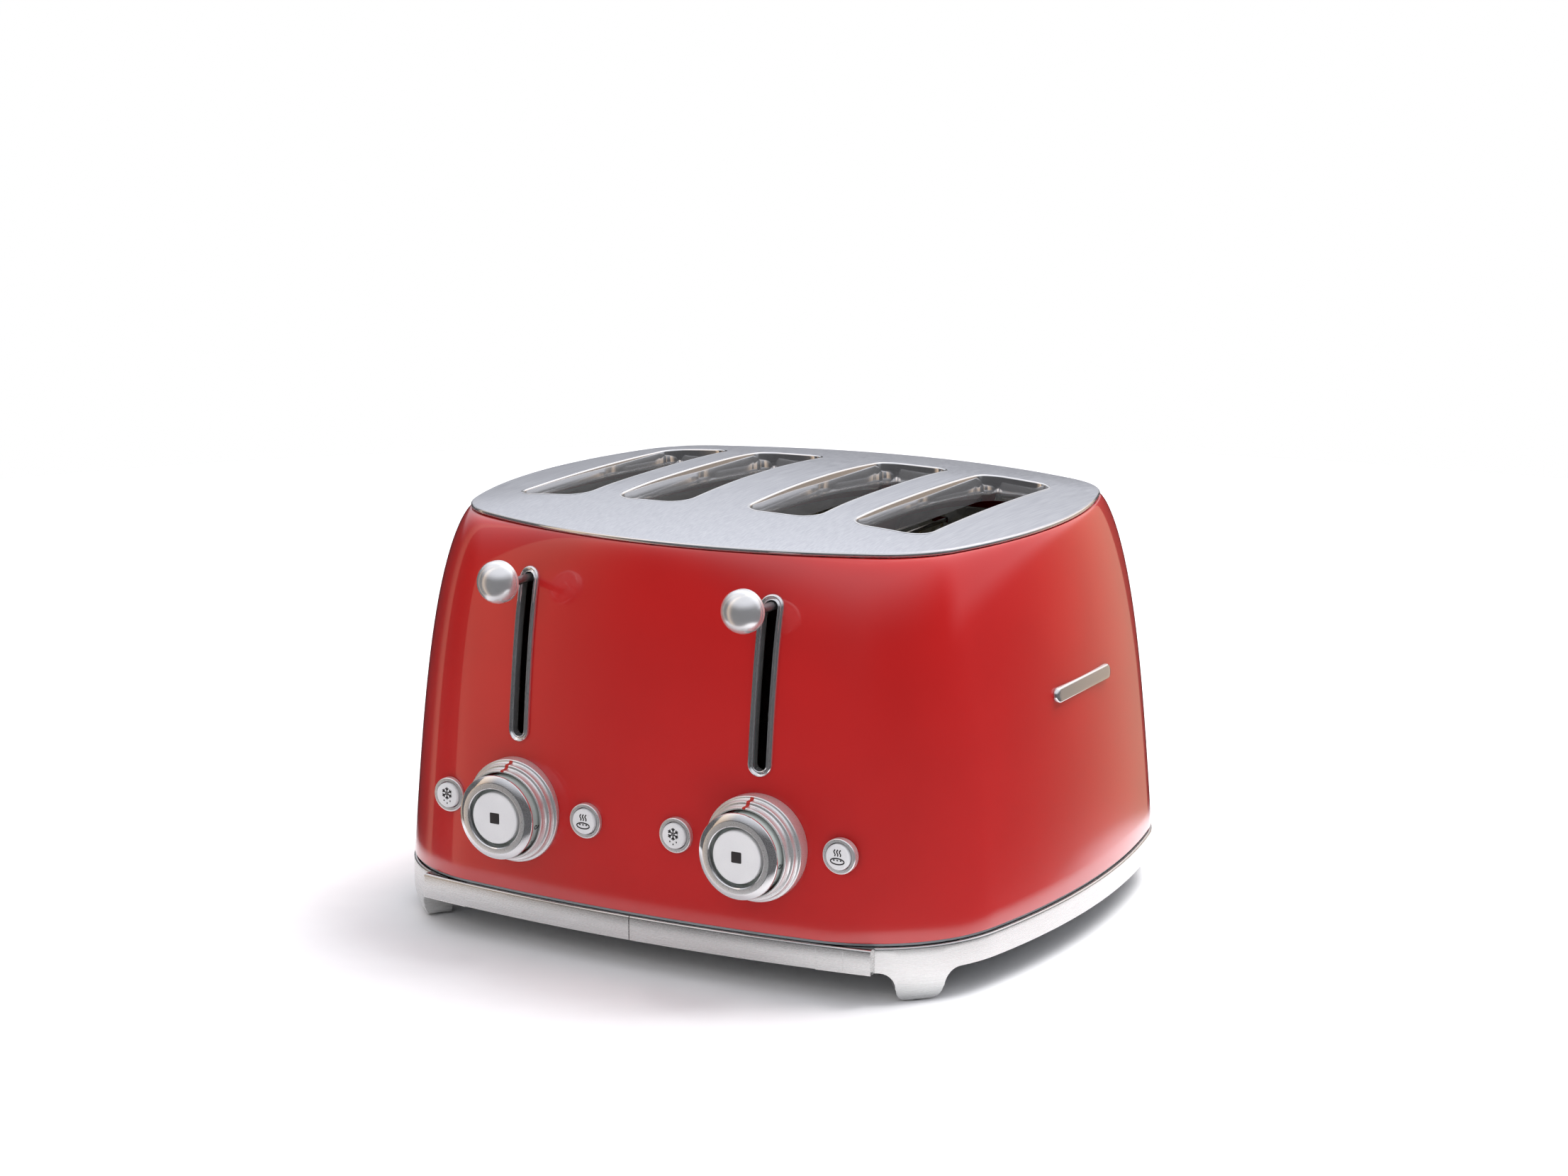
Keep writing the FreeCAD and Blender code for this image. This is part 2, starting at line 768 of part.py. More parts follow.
def lever_bezel():
    """Polished frame round one lever slot: a flange on the shell and a neck through it."""
    snug = size("snug")
    outside = shell_loft(-size("bezel_proud"), size("shell_top") + 2)
    outside = outside.cut(shell_loft(-snug, size("shell_top") + 2))
    flange = upright_slot(size("bezel_width"), 0).common(outside)
    neck_wall = shell_loft(-size("bezel_proud") / 2, size("shell_top") + 2)
    neck_wall = neck_wall.cut(shell_loft(3.0, size("shell_top") - 3.0))
    neck = upright_slot(size("bezel_width") - 2 - 2 * snug, 1 + snug).common(neck_wall)
    bore = upright_slot(size("bezel_bore"), (size("bezel_width") - size("bezel_bore")) / 2)
    return flange.fuse(neck).cut(bore).removeSplitter()


def dial_bezel():
    """Turned ring of three tiers that stands on the shell round one dial."""
    x, z = size("lever_across"), size("dial_height")
    bore, outer = size("dial_bezel_bore"), size("dial_bezel_radius")
    root = size("dial_bezel_front") - 30
    tiers = [
        (bore, root),
        (bore, size("dial_bezel_front")),
        (size("dial_collar_radius"), size("dial_bezel_front")),
        (size("dial_collar_radius"), size("dial_collar_back")),
        (size("dial_tier_radius"), size("dial_tier_front")),
        (size("dial_tier_radius"), size("dial_tier_back")),
        (outer, size("dial_flange_front")),
        (outer, root),
    ]
    outline = Part.makePolygon([Vector(x + radius, -ahead, z) for radius, ahead in tiers + tiers[:1]])
    ring = Part.Face(outline).revolve(Vector(x, 0, z), Vector(0, 1, 0), 360)
    return ring.cut(shell_loft(-size("snug"), size("shell_top") + 2))


def button_rings():
    """Fixed collars of the four push buttons."""
    keep_out = shell_loft(-size("snug"), size("shell_top") + 2)
    rings = []
    for x, z, face in button_spots():
        front = face + size("button_ring_proud")
        ring = Part.makeCylinder(size("button_ring"), 12, Vector(x, -front, z), Vector(0, 1, 0))
        bore = Part.makeCylinder(size("button_ring_bore"), 40, Vector(x, -front - 1, z), Vector(0, 1, 0))
        rings.append(ring.cut([bore, keep_out]))
    return Part.makeCompound(both_sides(rings))


def side_trim():
    """Plain polished bar on the right side of the shell."""
    half, end = size("trim_length") / 2, size("trim_width") / 2
    z = size("trim_height")
    bar = Part.makeBox(60, 2 * (half - end), size("trim_width"), Vector(120, -(half - end), z - end))
    ends = (end - half, half - end)
    caps = [Part.makeCylinder(end, 60, Vector(120, y, z), Vector(1, 0, 0)) for y in ends]
    layer = shell_loft(-size("trim_proud"), size("shell_top") + 2).cut(
        shell_loft(-size("snug"), size("shell_top") + 2)
    )
    return bar.fuse(caps).removeSplitter().common(layer)


drawn("outer_shell", outer_shell())
drawn("top_plate", top_plate())
drawn("base_band", base_band())
drawn("seam_ring", seam_ring())
drawn("base_floor", base_floor())
drawn("base_frame", base_frame())
drawn("floor_screws", floor_screws())
drawn("foot_pads", foot_pads())
drawn("side_trim", side_trim())
drawn("lever_bezels", Part.makeCompound(both_sides([lever_bezel()])))
ring = dial_bezel()
drawn("dial_bezel_right", ring)
drawn("dial_bezel_left", mirror_x(ring))
drawn("button_rings", button_rings())
front_bar = tray_front()
drawn("tray_front_right", front_bar)
drawn("tray_front_left", mirror_x(front_bar))


# ---------------------------------------------------------------- crumb trays

def crumb_tray():
    xs = ("tray_inner", "tray_outer")
    ys = ("-tray_back + snug", "tray_rear")
    pan = block(xs, ys, ("tray_floor", "tray_floor + tray_height"))
    inside = block(
        (f"{xs[0]} + tray_wall", f"{xs[1]} - tray_wall"),
        (f"{ys[0]} + tray_wall", f"{ys[1]} - tray_wall"),
        ("tray_floor + tray_wall", "tray_floor + tray_height + 1"),
    )
    return cut(pan, [inside])


left_and_right("crumb_tray", crumb_tray())


# ---------------------------------------------------------------- inner chassis

def guard_slots(y_low, y_high):
    """Short level slots in a bulkhead that let the bread guides' rods move sideways."""
    tools = []
    for sign in ("", "-"):
        for centre in ("slot_inner", "slot_outer"):
            for z in ("guard_low", "guard_high"):
                for way in ("-", "+"):
                    far = f"{sign}({centre} {way} guard_open)"
                    near = f"{sign}({centre} {way} (guard_open - guard_travel))"
                    low, high = (far, near) if (sign == "") == (way == "-") else (near, far)
                    xs = (f"{low} - guard_rod - seat", f"{high} + guard_rod + seat")
                    zs = (f"{z} - guard_rod - seat", f"{z} + guard_rod + seat")
                    tools.append(block(xs, (y_low, y_high), zs))
    return tools


def rack_slots(y_low, y_high):
    """Upright slots that let the bread racks rise and fall."""
    tools = []
    for sign in ("", "-"):
        for centre in ("slot_inner", "slot_outer"):
            xs = (f"{sign}{centre} - rack_thick / 2 - 1.2", f"{sign}{centre} + rack_thick / 2 + 1.2")
            zs = ("rack_rest - lift_travel - 1.5", "rack_rest + rack_height + 1.5")
            tools.append(block(xs, (y_low, y_high), zs))
    return tools


def bulkhead(front):
    y_low = "-bulkhead_front - sheet" if front else "bulkhead_rear"
    y_high = "-bulkhead_front" if front else "bulkhead_rear + sheet"
    xs = ("-bulkhead_half", "bulkhead_half")
    plate = block(xs, (y_low, y_high), ("frame_top + snug", "bulkhead_top"))
    through = (f"{y_low} - 2", f"{y_high} + 2")
    return cut(plate, guard_slots(*through) + rack_slots(*through))


node("front_bulkhead", bulkhead(True))
node("rear_bulkhead", bulkhead(False))

shield_y = ("-bulkhead_front + snug", "bulkhead_rear - snug")
shield_z = ("frame_top + snug", "board_high + 8")
node("heat_shields", grouped([
    block(("shield_across", "shield_across + sheet"), shield_y, shield_z),
    block(("-shield_across - sheet", "-shield_across"), shield_y, shield_z),
    block(("-sheet / 2", "sheet / 2"), shield_y, shield_z),
]))


def heater_board(centre):
    """Mica board that spans the oven between the two bulkheads."""
    xs = (f"{centre} - board_thick / 2", f"{centre} + board_thick / 2")
    return block(xs, shield_y, ("board_low", "board_high"))


def heater_ribbon(centre, side):
    """One flat heating ribbon, wound back and forth on a face of its board."""
    runs = int(size("ribbon_runs"))
    near = f"{centre} {side} (board_thick / 2 + 0.02)"
    far = f"{centre} {side} (board_thick / 2 + 0.02 + ribbon_thick)"
    xs = (near, far) if side == "+" else (far, near)
    y_low, y_high = "-bulkhead_front + 9", "bulkhead_rear - 9"
    pitch = "(board_high - board_low - 16) / (ribbon_runs - 1)"
    pieces = []
    for run in range(runs):
        z = f"board_low + 8 + {run} * {pitch}"
        pieces.append(block(xs, (y_low, y_high), (f"{z} - ribbon_wide / 2", f"{z} + ribbon_wide / 2")))
        if run < runs - 1:
            end = (f"{y_high} - ribbon_wide", y_high) if run % 2 == 0 else (y_low, f"{y_low} + ribbon_wide")
            pieces.append(block(xs, end, (z, f"{z} + {pitch}")))
    return fused(pieces)


paired("heater_boards", grouped([
    heater_board(centre) for centre in ("board_inner", "board_middle", "board_outer")
]))
paired("heating_ribbons", grouped([
    heater_ribbon("board_inner", "+"),
    heater_ribbon("board_middle", "-"),
    heater_ribbon("board_middle", "+"),
    heater_ribbon("board_outer", "-"),
]))


# ---------------------------------------------------------------- bread guides

def bread_guides(way):
    """Two wire guides, one in each slot of a pair, on the same side of the bread."""
    cages = []
    y_low, y_high = "-bulkhead_front - sheet - 2", "bulkhead_rear + sheet + 2"
    inner_low, inner_high = "-bulkhead_front + 4", "bulkhead_rear - 4"
    middle = "(guard_low + guard_high) / 2"
    for centre in ("slot_inner", "slot_outer"):
        x = f"{centre} {way} guard_open"
        length = f"({y_high}) - ({y_low})"
        wires = [rod("y", (x, y_low, z), "guard_rod", length) for z in ("guard_low", "guard_high")]
        behind = f"{x} {way} guard_weld"
        across = f"({inner_high}) - ({inner_low}) + 2"
        wires.append(rod("y", (behind, f"{inner_low} - 1", middle), "guard_wire", across))
        for step in range(7):
            y = f"{inner_low} + {step} * (({inner_high}) - ({inner_low})) / 6"
            wires.append(rod("z", (x, y, "guard_low"), "guard_wire", "guard_high - guard_low"))
        cages.append(fused(wires))
    return grouped(cages)


left_and_right("bread_guides_inner", bread_guides("-"))
left_and_right("bread_guides_outer", bread_guides("+"))


# ---------------------------------------------------------------- lift carriages

def carriage():
    """Steel lift plate with its cross bar, two rod bushes, a spring hook and the lever arm."""
    ys = ("-carriage_front", "-carriage_back")
    plate = block(
        ("lever_across - carriage_half", "lever_across + carriage_half"), ys, ("rack_rest", "lever_top")
    )
    bar = block(
        ("slot_inner - 4", "slot_outer + 4"), ys, ("rack_rest", "rack_rest + rack_height")
    )
    bushes = []
    for low in ("rack_rest + 8", "lever_rest - 6"):
        bushes.append(block(
            ("rod_across - guide_rod_radius - 2", "rod_across + guide_rod_radius + 2"),
            ("-rod_front - guide_rod_radius - 2", "-carriage_front + 0.5"),
            (low, f"{low} + 8"),
        ))
    hook = block(
        ("spring_across - 2.5", "spring_across + 2.5"),
        ("-carriage_front - 9", "-carriage_front + 0.5"),
        ("keeper_rest", "keeper_rest + 2"),
    )
    arm_start = "-ball_front + ball_flat - arm_grip + slip"
    arm_long = f"-carriage_front + 0.5 - ({arm_start})"
    arm = rod("y", ("lever_across", arm_start, "lever_rest"), "arm_radius", arm_long)
    bore = rod("z", ("rod_across", "-rod_front", "rack_rest - 5"), "guide_rod_radius + 0.06", "100")
    return cut(fused([plate, bar, hook, arm] + bushes), [bore])


left_and_right("carriage", carriage())


def bread_rack(centre):
    """Toothed bar that carries a slice, with short cross fingers."""
    zs = ("rack_rest", "rack_rest + rack_height")
    y_low, y_high = "-carriage_back + snug", "bulkhead_rear + sheet + 4"
    bar = block((f"{centre} - rack_thick / 2", f"{centre} + rack_thick / 2"), (y_low, y_high), zs)
    pieces = [bar]
    for step in range(6):
        y = f"-bulkhead_front + 12 + {step} * (bulkhead_front + bulkhead_rear - 24) / 5"
        pieces.append(block(
            (f"{centre} - rack_finger", f"{centre} + rack_finger"),
            (f"{y} - 1", f"{y} + 1"),
            ("rack_rest + rack_height - 2", "rack_rest + rack_height"),
        ))
    return fused(pieces)


left_and_right("bread_racks", grouped([bread_rack("slot_inner"), bread_rack("slot_outer")]))


def lever_ball():
    """Polished dome on a short straight collar, bored for the lever arm."""
    dome = doc.addObject("Part::Sphere", "dome")
    dome.Placement = FreeCAD.Placement(Vector(), TURN_TO_Y)
    bind(dome, Radius="ball_radius", Angle2="-asin(ball_edge / ball_radius)")
    move_to(dome, "lever_across", "-ball_front", "lever_rest + ball_rise")
    start = ("lever_across", "-ball_front - ball_edge", "lever_rest + ball_rise")
    collar = rod("y", start, "collar_radius", "ball_edge + ball_flat - ball_bevel")
    bevel = doc.addObject("Part::Cone", "bevel")
    bevel.Placement = FreeCAD.Placement(Vector(), TURN_TO_Y)
    bind(bevel, Radius1="collar_radius", Radius2="collar_radius - ball_bevel", Height="ball_bevel")
    move_to(bevel, "lever_across", "-ball_front + ball_flat - ball_bevel", "lever_rest + ball_rise")
    bore_start = ("lever_across", "-ball_front + ball_flat - arm_grip", "lever_rest")
    bore = rod("y", bore_start, "arm_radius + slip", "10")
    return cut(fused([dome, collar, bevel]), [bore])


left_and_right("lever_ball", lever_ball())


def latch_keeper():
    """Soft-iron tab that the electromagnet holds when the carriage is down."""
    return block(
        ("magnet_across", "magnet_across + 15"),
        ("-carriage_front - 17", "-carriage_front - snug"),
        ("keeper_rest", "keeper_rest + 2"),
    )


left_and_right("latch_keeper", latch_keeper())


def return_spring():
    """Outer tube of the pull-back spring between the top bracket and the carriage hook."""
    start = ("spring_across", "-carriage_front - 5", "keeper_rest + 2 + snug")
    length = "bracket_base - snug - (keeper_rest + 2 + snug)"
    outer = rod("z", start, "spring_radius", length)
    inner_start = ("spring_across", "-carriage_front - 5", "keeper_rest")
    inner = rod("z", inner_start, "spring_radius - spring_wire", "90")
    return cut(outer, [inner])


left_and_right("return_spring", return_spring())


# ---------------------------------------------------------------- fixed lift hardware

def rod_bracket():
    """Angle on the front bulkhead that holds the guide rod and the spring at the top."""
    shelf = block(
        ("rod_across - 7", "spring_across + 7"),
        ("-rod_front - 6", "-bulkhead_front - sheet - snug"),
        ("bracket_base", "bracket_base + 1.5"),
    )
    leg = block(
        ("rod_across - 7", "spring_across + 7"),
        ("-bulkhead_front - sheet - 1.6", "-bulkhead_front - sheet - snug"),
        ("bracket_base - 2", "bracket_base + 1.5"),
    )
    bore = rod("z", ("rod_across", "-rod_front", "bracket_base - 1"), "guide_rod_radius + 0.05", "5")
    return cut(fused([shelf, leg]), [bore])


def guide_rod():
    low = "frame_top + snug"
    return rod("z", ("rod_across", "-rod_front", low), "guide_rod_radius", f"bracket_base + 1.5 - ({low})")


paired("rod_brackets", rod_bracket())
paired("guide_rods", guide_rod())

MAGNET_TOP = "keeper_low - seat"


def magnet_core():
    """U-shaped core: two legs and a yoke on the base frame."""
    ys = ("-carriage_front - 16", "-carriage_front - 8")
    low = "frame_top + snug"
    yoke = block(("magnet_across", "magnet_across + 15"), ys, (low, f"{low} + 4"))
    starts = ("magnet_across", "magnet_across + 11")
    legs = [block((start, f"{start} + 4"), ys, (low, MAGNET_TOP)) for start in starts]
    return fused([yoke] + legs)


def magnet_coil():
    """Bobbin winding round the core's outer leg."""
    zs = ("frame_top + snug + 4 + snug", f"{MAGNET_TOP} - 3")
    xs = ("magnet_across + 9", "magnet_across + 17")
    outer = block(xs, ("-carriage_front - 18", "-carriage_front - 6"), zs)
    hole = block(
        ("magnet_across + 11 - snug", "magnet_across + 15 + snug"),
        ("-carriage_front - 16 - snug", "-carriage_front - 8 + snug"),
        ("frame_top", MAGNET_TOP),
    )
    return cut(outer, [hole])


paired("magnet_cores", magnet_core())
paired("magnet_coils", magnet_coil())


# ---------------------------------------------------------------- dials

def at_dial(body, front):
    """Put a turned body's own origin on the dial's axis, at a distance ahead of the middle."""
    move_to(body, "lever_across", f"-({front})", "dial_height")
    return body


def dial_skirt():
    """Numbered sleeve: a cup for the stop button, and a hollow shaft; lengths run back from its rim."""
    long = "cap_back - snug - skirt_back"
    reach = "cap_back - board_front - circuit_thick - 3.6"
    cup = "cap_back - snug - cap_floor"
    return at_dial(turned([
        ("cap_bore", "0"),
        ("skirt_radius", "0"),
        ("skirt_radius", long),
        ("shaft_radius", long),
        ("shaft_radius", reach),
        ("shaft_bore", reach),
        ("shaft_bore", cup),
        ("cap_bore", cup),
    ]), "cap_back - snug")


def dial_cap():
    """Chromed grip ring on the sleeve's rim, with a wide front bevel."""
    return at_dial(turned([
        ("cap_bore", "0"),
        ("cap_radius - cap_bevel", "0"),
        ("cap_radius", "cap_bevel_long"),
        ("cap_radius", "cap_front - cap_back"),
        ("cap_bore", "cap_front - cap_back"),
    ]), "cap_front")


def stop_button():
    """Centre disc on a plunger that runs back through the dial's hollow shaft."""
    reach = "stop_front - board_front - circuit_thick - switch_height - stop_travel - 0.2"
    disc = turned([
        ("0", "0"),
        ("stop_radius - 1", "0"),
        ("stop_radius", "1"),
        ("stop_radius", "stop_thick"),
        ("stop_plunger", "stop_thick"),
        ("stop_plunger", reach),
        ("0", reach),
    ])
    return at_dial(disc, "stop_front")


left_and_right("dial_skirt", dial_skirt())
left_and_right("dial_cap", dial_cap())
left_and_right("stop_button", stop_button())


def potentiometer():
    """Fixed ring-shaped sensor that the dial's shaft turns in."""
    long = "9"
    body = turned([
        ("shaft_radius + 0.08", "0"),
        ("9", "0"),
        ("9", long),
        ("shaft_radius + 0.08", long),
    ])
    return at_dial(body, f"board_front + circuit_thick + snug + {long}")


paired("potentiometers", potentiometer())


def push_button(word, sign):
    """Round cap on a plunger that reaches the switch behind it."""
    face = f"button_face_{word}"
    front = f"{face} + button_cap_proud"
    reach = f"{front} - board_front - circuit_thick - switch_height - button_travel - 0.2"
    body = turned([
        ("0", "0"),
        ("button_cap - 0.8", "0"),
        ("button_cap", "0.8"),
        ("button_cap", "7"),
        ("2", "7"),
        ("2", reach),
        ("0", reach),
    ])
    move_to(body, f"lever_across {sign} button_spread", f"-({front})", "button_height")
    return body


# Thawing is the left-hand button of each pair, so the mirrored caps swap their names.
left_and_right("defrost_button", push_button("inner", "-"), "warm_button")
left_and_right("warm_button", push_button("outer", "+"), "defrost_button")


# ---------------------------------------------------------------- electrical parts

def control_board():
    return block(
        ("circuit_inner", "circuit_outer"),
        ("-board_front - circuit_thick", "-board_front"),
        ("circuit_low", "circuit_high"),
    )


def board_supports():
    """Two angles that stand on the base frame and hold the control board."""
    pieces = []
    back = "-board_front + snug"
    for low in ("circuit_inner + 4", "circuit_outer - 10"):
        xs = (low, f"{low} + 6")
        pieces.append(fused([
            block(xs, (back, "-board_front + 1.4"), ("frame_top + snug", "circuit_high - 4")),
            block(xs, (back, "-board_front + 8"), ("frame_top + snug", "frame_top + 1.4")),
        ]))
    return grouped(pieces)


def board_switches():
    """Three small push switches: one in line with each plunger."""
    ys = ("-board_front - circuit_thick - switch_height", "-board_front - circuit_thick - 0.05")
    spots = (
        ("lever_across", "dial_height"),
        ("lever_across - button_spread", "button_height"),
        ("lever_across + button_spread", "button_height"),
    )
    return grouped([
        block((f"{x} - 2.5", f"{x} + 2.5"), ys, (f"{z} - 2.5", f"{z} + 2.5")) for x, z in spots
    ])


paired("control_boards", control_board())
paired("board_supports", board_supports())
paired("board_switches", board_switches())

POWER_FACE = "bulkhead_rear + sheet + 6"
node("power_board", grouped([
    block(("-58", "58"), (POWER_FACE, f"{POWER_FACE} + circuit_thick"), ("48", "112")),
]))
node("board_spacers", grouped([
    rod("y", (x, "bulkhead_rear + sheet + snug", z), "3", "6 - 2 * snug")
    for x in ("-52", "52") for z in ("54", "106")
]))
POWER_PARTS = f"{POWER_FACE} + circuit_thick + snug"
node("power_parts", grouped([
    block(("-50", "-22"), (POWER_PARTS, f"{POWER_PARTS} + 16"), ("60", "82")),
    block(("-14", "8"), (POWER_PARTS, f"{POWER_PARTS} + 14"), ("60", "88")),
    rod("y", ("26", POWER_PARTS, "74"), "8", "22"),
    rod("y", ("44", POWER_PARTS, "74"), "5", "14"),
]))
node("terminal_block", grouped([
    block(("-18", "18"), ("bulkhead_rear + sheet + 30", "bulkhead_rear + sheet + 44"),
          ("frame_top + snug", "frame_top + 12")),
]))


def cord_gland():
    """Moulded bushing in the rear wall; its bore is where the supply cord comes in."""
    long = "gland_neck + gland_proud"
    body = turned([
        ("gland_bore", "0"),
        ("gland_radius - 2 - snug", "0"),
        ("gland_radius - 2 - snug", "gland_neck + snug"),
        ("gland_radius", "gland_neck + snug"),
        ("gland_radius", f"{long} - 2"),
        ("gland_radius - 2", long),
        ("gland_bore", long),
    ])
    move_to(body, "0", "gland_face - gland_neck", "gland_height")
    return body


node("cord_gland", grouped([cord_gland()]))

# ---------------------------------------------------------------- test and write

doc.recompute()
for thing in doc.Objects:
    if "Invalid" in thing.State or "Error" in thing.State:
        raise RuntimeError(f"{thing.Label} ({thing.Name}) did not build: {thing.State}")
for thing in NODES:
    if thing.Shape.isNull() or not thing.Shape.isValid() or not thing.Shape.Solids:
        raise RuntimeError(f"{thing.Label} has no valid solid")

os.makedirs("parts", exist_ok=True)
for thing in NODES:
    thing.Shape.exportStep(f"parts/{thing.Label}.step")
print(len(NODES), "nodes")
print("origin_shift", size("origin_shift"))
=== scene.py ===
from functools import lru_cache
from math import asin, atan2, cos, degrees, hypot, pi, radians, sin, sqrt, tan

import bpy
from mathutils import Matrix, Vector


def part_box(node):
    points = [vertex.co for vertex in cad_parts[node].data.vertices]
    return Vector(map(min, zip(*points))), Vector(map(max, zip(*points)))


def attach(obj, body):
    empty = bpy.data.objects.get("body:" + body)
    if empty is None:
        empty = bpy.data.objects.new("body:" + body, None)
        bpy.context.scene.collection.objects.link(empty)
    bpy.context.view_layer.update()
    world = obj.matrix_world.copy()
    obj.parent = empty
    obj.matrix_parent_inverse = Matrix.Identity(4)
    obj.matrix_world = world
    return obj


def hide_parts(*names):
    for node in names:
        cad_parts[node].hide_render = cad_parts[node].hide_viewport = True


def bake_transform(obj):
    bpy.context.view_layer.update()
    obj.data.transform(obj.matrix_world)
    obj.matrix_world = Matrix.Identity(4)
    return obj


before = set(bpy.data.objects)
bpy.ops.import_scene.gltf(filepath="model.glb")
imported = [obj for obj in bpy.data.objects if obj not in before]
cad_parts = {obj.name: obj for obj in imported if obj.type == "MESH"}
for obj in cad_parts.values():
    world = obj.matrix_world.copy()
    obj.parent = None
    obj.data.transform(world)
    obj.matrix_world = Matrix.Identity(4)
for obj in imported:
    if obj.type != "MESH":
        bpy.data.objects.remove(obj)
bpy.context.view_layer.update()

# Four-slot pop-up toaster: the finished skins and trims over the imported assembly.
# Lengths are in millimetres about the middle of the body; at() turns them into metres
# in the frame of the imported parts. "Ahead" is a distance in front of the body's middle.

MM = 0.001
SIDES = (("right", 1), ("left", -1))


# ---- sizes from the frame

def box_mm(node):
    """Lowest and highest corners of a node, in millimetres."""
    low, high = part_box(node)
    return low / MM, high / MM


SHELL_LOW, SHELL_HIGH = box_mm("outer_shell")
PLATE_LOW, PLATE_HIGH = box_mm("top_plate")
BAND_TOP = box_mm("base_band")[1].z
SHIFT = (SHELL_LOW.y + SHELL_HIGH.y) / 2

SHELL_BASE, SHELL_TOP = SHELL_LOW.z, SHELL_HIGH.z
PLATE_GAP = 0.2
HALF_WIDE = (SHELL_HIGH.x, PLATE_HIGH.x + PLATE_GAP)
HALF_DEEP = ((SHELL_HIGH.y - SHELL_LOW.y) / 2, (PLATE_HIGH.y - PLATE_LOW.y) / 2 + PLATE_GAP)
FRONT_BOW = (837.0, 258.0)
SIDE_BOW = (434.0, 246.0)
CORNER = (72.0, 48.0)
TAPER_SHARE, SHOULDER_POWER, SHOULDER_ROOT = 0.53, 3.46, 1.39
SHELL_WALL, SHELL_FLANGE = 1.2, 3.5

PLATE_RIM = 2.6
RIM_BEAD = PLATE_RIM / 2
PLATE_BASE = SHELL_TOP + 0.1
RIM_TOP = PLATE_BASE + PLATE_RIM
DOME_RISE = PLATE_HIGH.z - RIM_TOP
PLATE_WALL = 1.5

SLOT_HALF = (19.0, 72.5)
SLOT_CORNER = 10.0
SLOT_SHIFT = -1.8
SLOT_SPOTS = (-91.9, -35.4, 35.4, 91.9)
COLLAR_BOTTOM = PLATE_LOW.z

DIAL_X, DIAL_Z = 64.9, 67.9
LEVER_X = 64.9
BUTTON_Z = 68.6
BUTTON_SPREAD = 40.6
SLOT_ENDS = (100.2, 182.0)


def at(x, y, z):
    """A point given in body millimetres, as a place in the scene."""
    return Vector((x, y + SHIFT, z)) * MM


# ---- camera

def set_camera():
    """Three-quarter view from the front right, a little above the plate."""
    azimuth, height = radians(28.977), radians(12.042)
    target, distance = Vector((-2.54, 4.77, 153.2)), 1597.7
    back = Vector((sin(azimuth), -cos(azimuth), tan(height))) * cos(height)
    bpy.ops.object.camera_add(location=(target + back * distance) * MM)
    camera = bpy.context.object
    camera.rotation_euler = back.to_track_quat("Z", "Y").to_euler()
    camera.data.lens = 74.05
    camera.data.sensor_width = 36.0
    camera.data.clip_end = 30.0
    bpy.context.scene.camera = camera


set_camera()


# ---- materials

def linear(code):
    """A '#rrggbb' colour in sRGB as linear RGBA."""
    parts = [int(code[n:n + 2], 16) / 255 for n in (1, 3, 5)]
    return [p / 12.92 if p <= 0.04045 else ((p + 0.055) / 1.055) ** 2.4 for p in parts] + [1.0]


def add(material, kind, settings=None, **inputs):
    """Add one node; an input, named by its word or by i and its number, is a value or an output."""
    made = material.node_tree.nodes.new("ShaderNode" + kind)
    for word, value in (settings or {}).items():
        setattr(made, word, value)
    for word, value in inputs.items():
        plug = made.inputs[int(word[1:]) if word[0] == "i" else word]
        if isinstance(value, bpy.types.NodeSocket):
            material.node_tree.links.new(value, plug)
        else:
            plug.default_value = value
    return made


def surface(name, colour, roughness, metallic=0.0, **more):
    """A material with its even values set on the shader's own sockets."""
    material = bpy.data.materials.new(name)
    material.use_nodes = True
    more.update(Base_Color=linear(colour), Roughness=roughness, Metallic=metallic)
    for word, value in more.items():
        shader(material).inputs[word.replace("_", " ")].default_value = value
    return material


def shader(material):
    return material.node_tree.nodes["Principled BSDF"]


def drive(material, word, output):
    """Let a node's output set one of the shader's values, and hand the material on."""
    material.node_tree.links.new(output, shader(material).inputs[word])
    return material


def on_piece(material):
    """Coordinates that stay with the piece."""
    return add(material, "TexCoord").outputs["Object"]


def spots(material, size_mm, stretch=(1, 1, 1), detail=2.0):
    """Noise on the piece itself, with features about size_mm across before it is stretched."""
    scaled = add(material, "Mapping", Vector=on_piece(material), Scale=stretch)
    where, scale = scaled.outputs["Vector"], 1 / (size_mm * MM)
    return add(material, "TexNoise", Vector=where, Scale=scale, Detail=detail).outputs["Fac"]


def cells(material, size_mm):
    """Outputs of a pattern of cells on the piece itself, about size_mm across."""
    return add(material, "TexVoronoi", Vector=on_piece(material), Scale=1 / (size_mm * MM)).outputs


def shades(material, factor, dark, light, low=0.35, high=0.65):
    """Base colour that drifts between two shades as a factor goes from low to high."""
    ramp = add(material, "ValToRGB", Fac=factor)
    for stop, position, colour in zip(ramp.color_ramp.elements, (low, high), (dark, light)):
        stop.position, stop.color = position, linear(colour)
    return drive(material, "Base Color", ramp.outputs["Color"])


def rough(material, factor, low, high):
    """Roughness that drifts between two values with a factor."""
    spread = add(material, "MapRange", i0=factor, i1=0.3, i2=0.7, i3=low, i4=high)
    return drive(material, "Roughness", spread.outputs["Result"])


def bumps(material, factor, height_mm):
    """Relief of a real height in millimetres."""
    relief = add(material, "Bump", Height=factor, Strength=1.0, Distance=height_mm * MM)
    return drive(material, "Normal", relief.outputs["Normal"])


def red_enamel():
    """Baked gloss enamel on pressed steel: deep colour under a clear, slightly wavy skin."""
    coats = {"Coat_Weight": 1.0, "Coat_Roughness": 0.035, "Coat_IOR": 1.5}
    material = surface("red_enamel", "#b81817", 0.32, IOR=1.5, **coats)
    shades(material, spots(material, 60), "#b41615", "#bb1817")
    return bumps(material, spots(material, 3.2), 0.006)


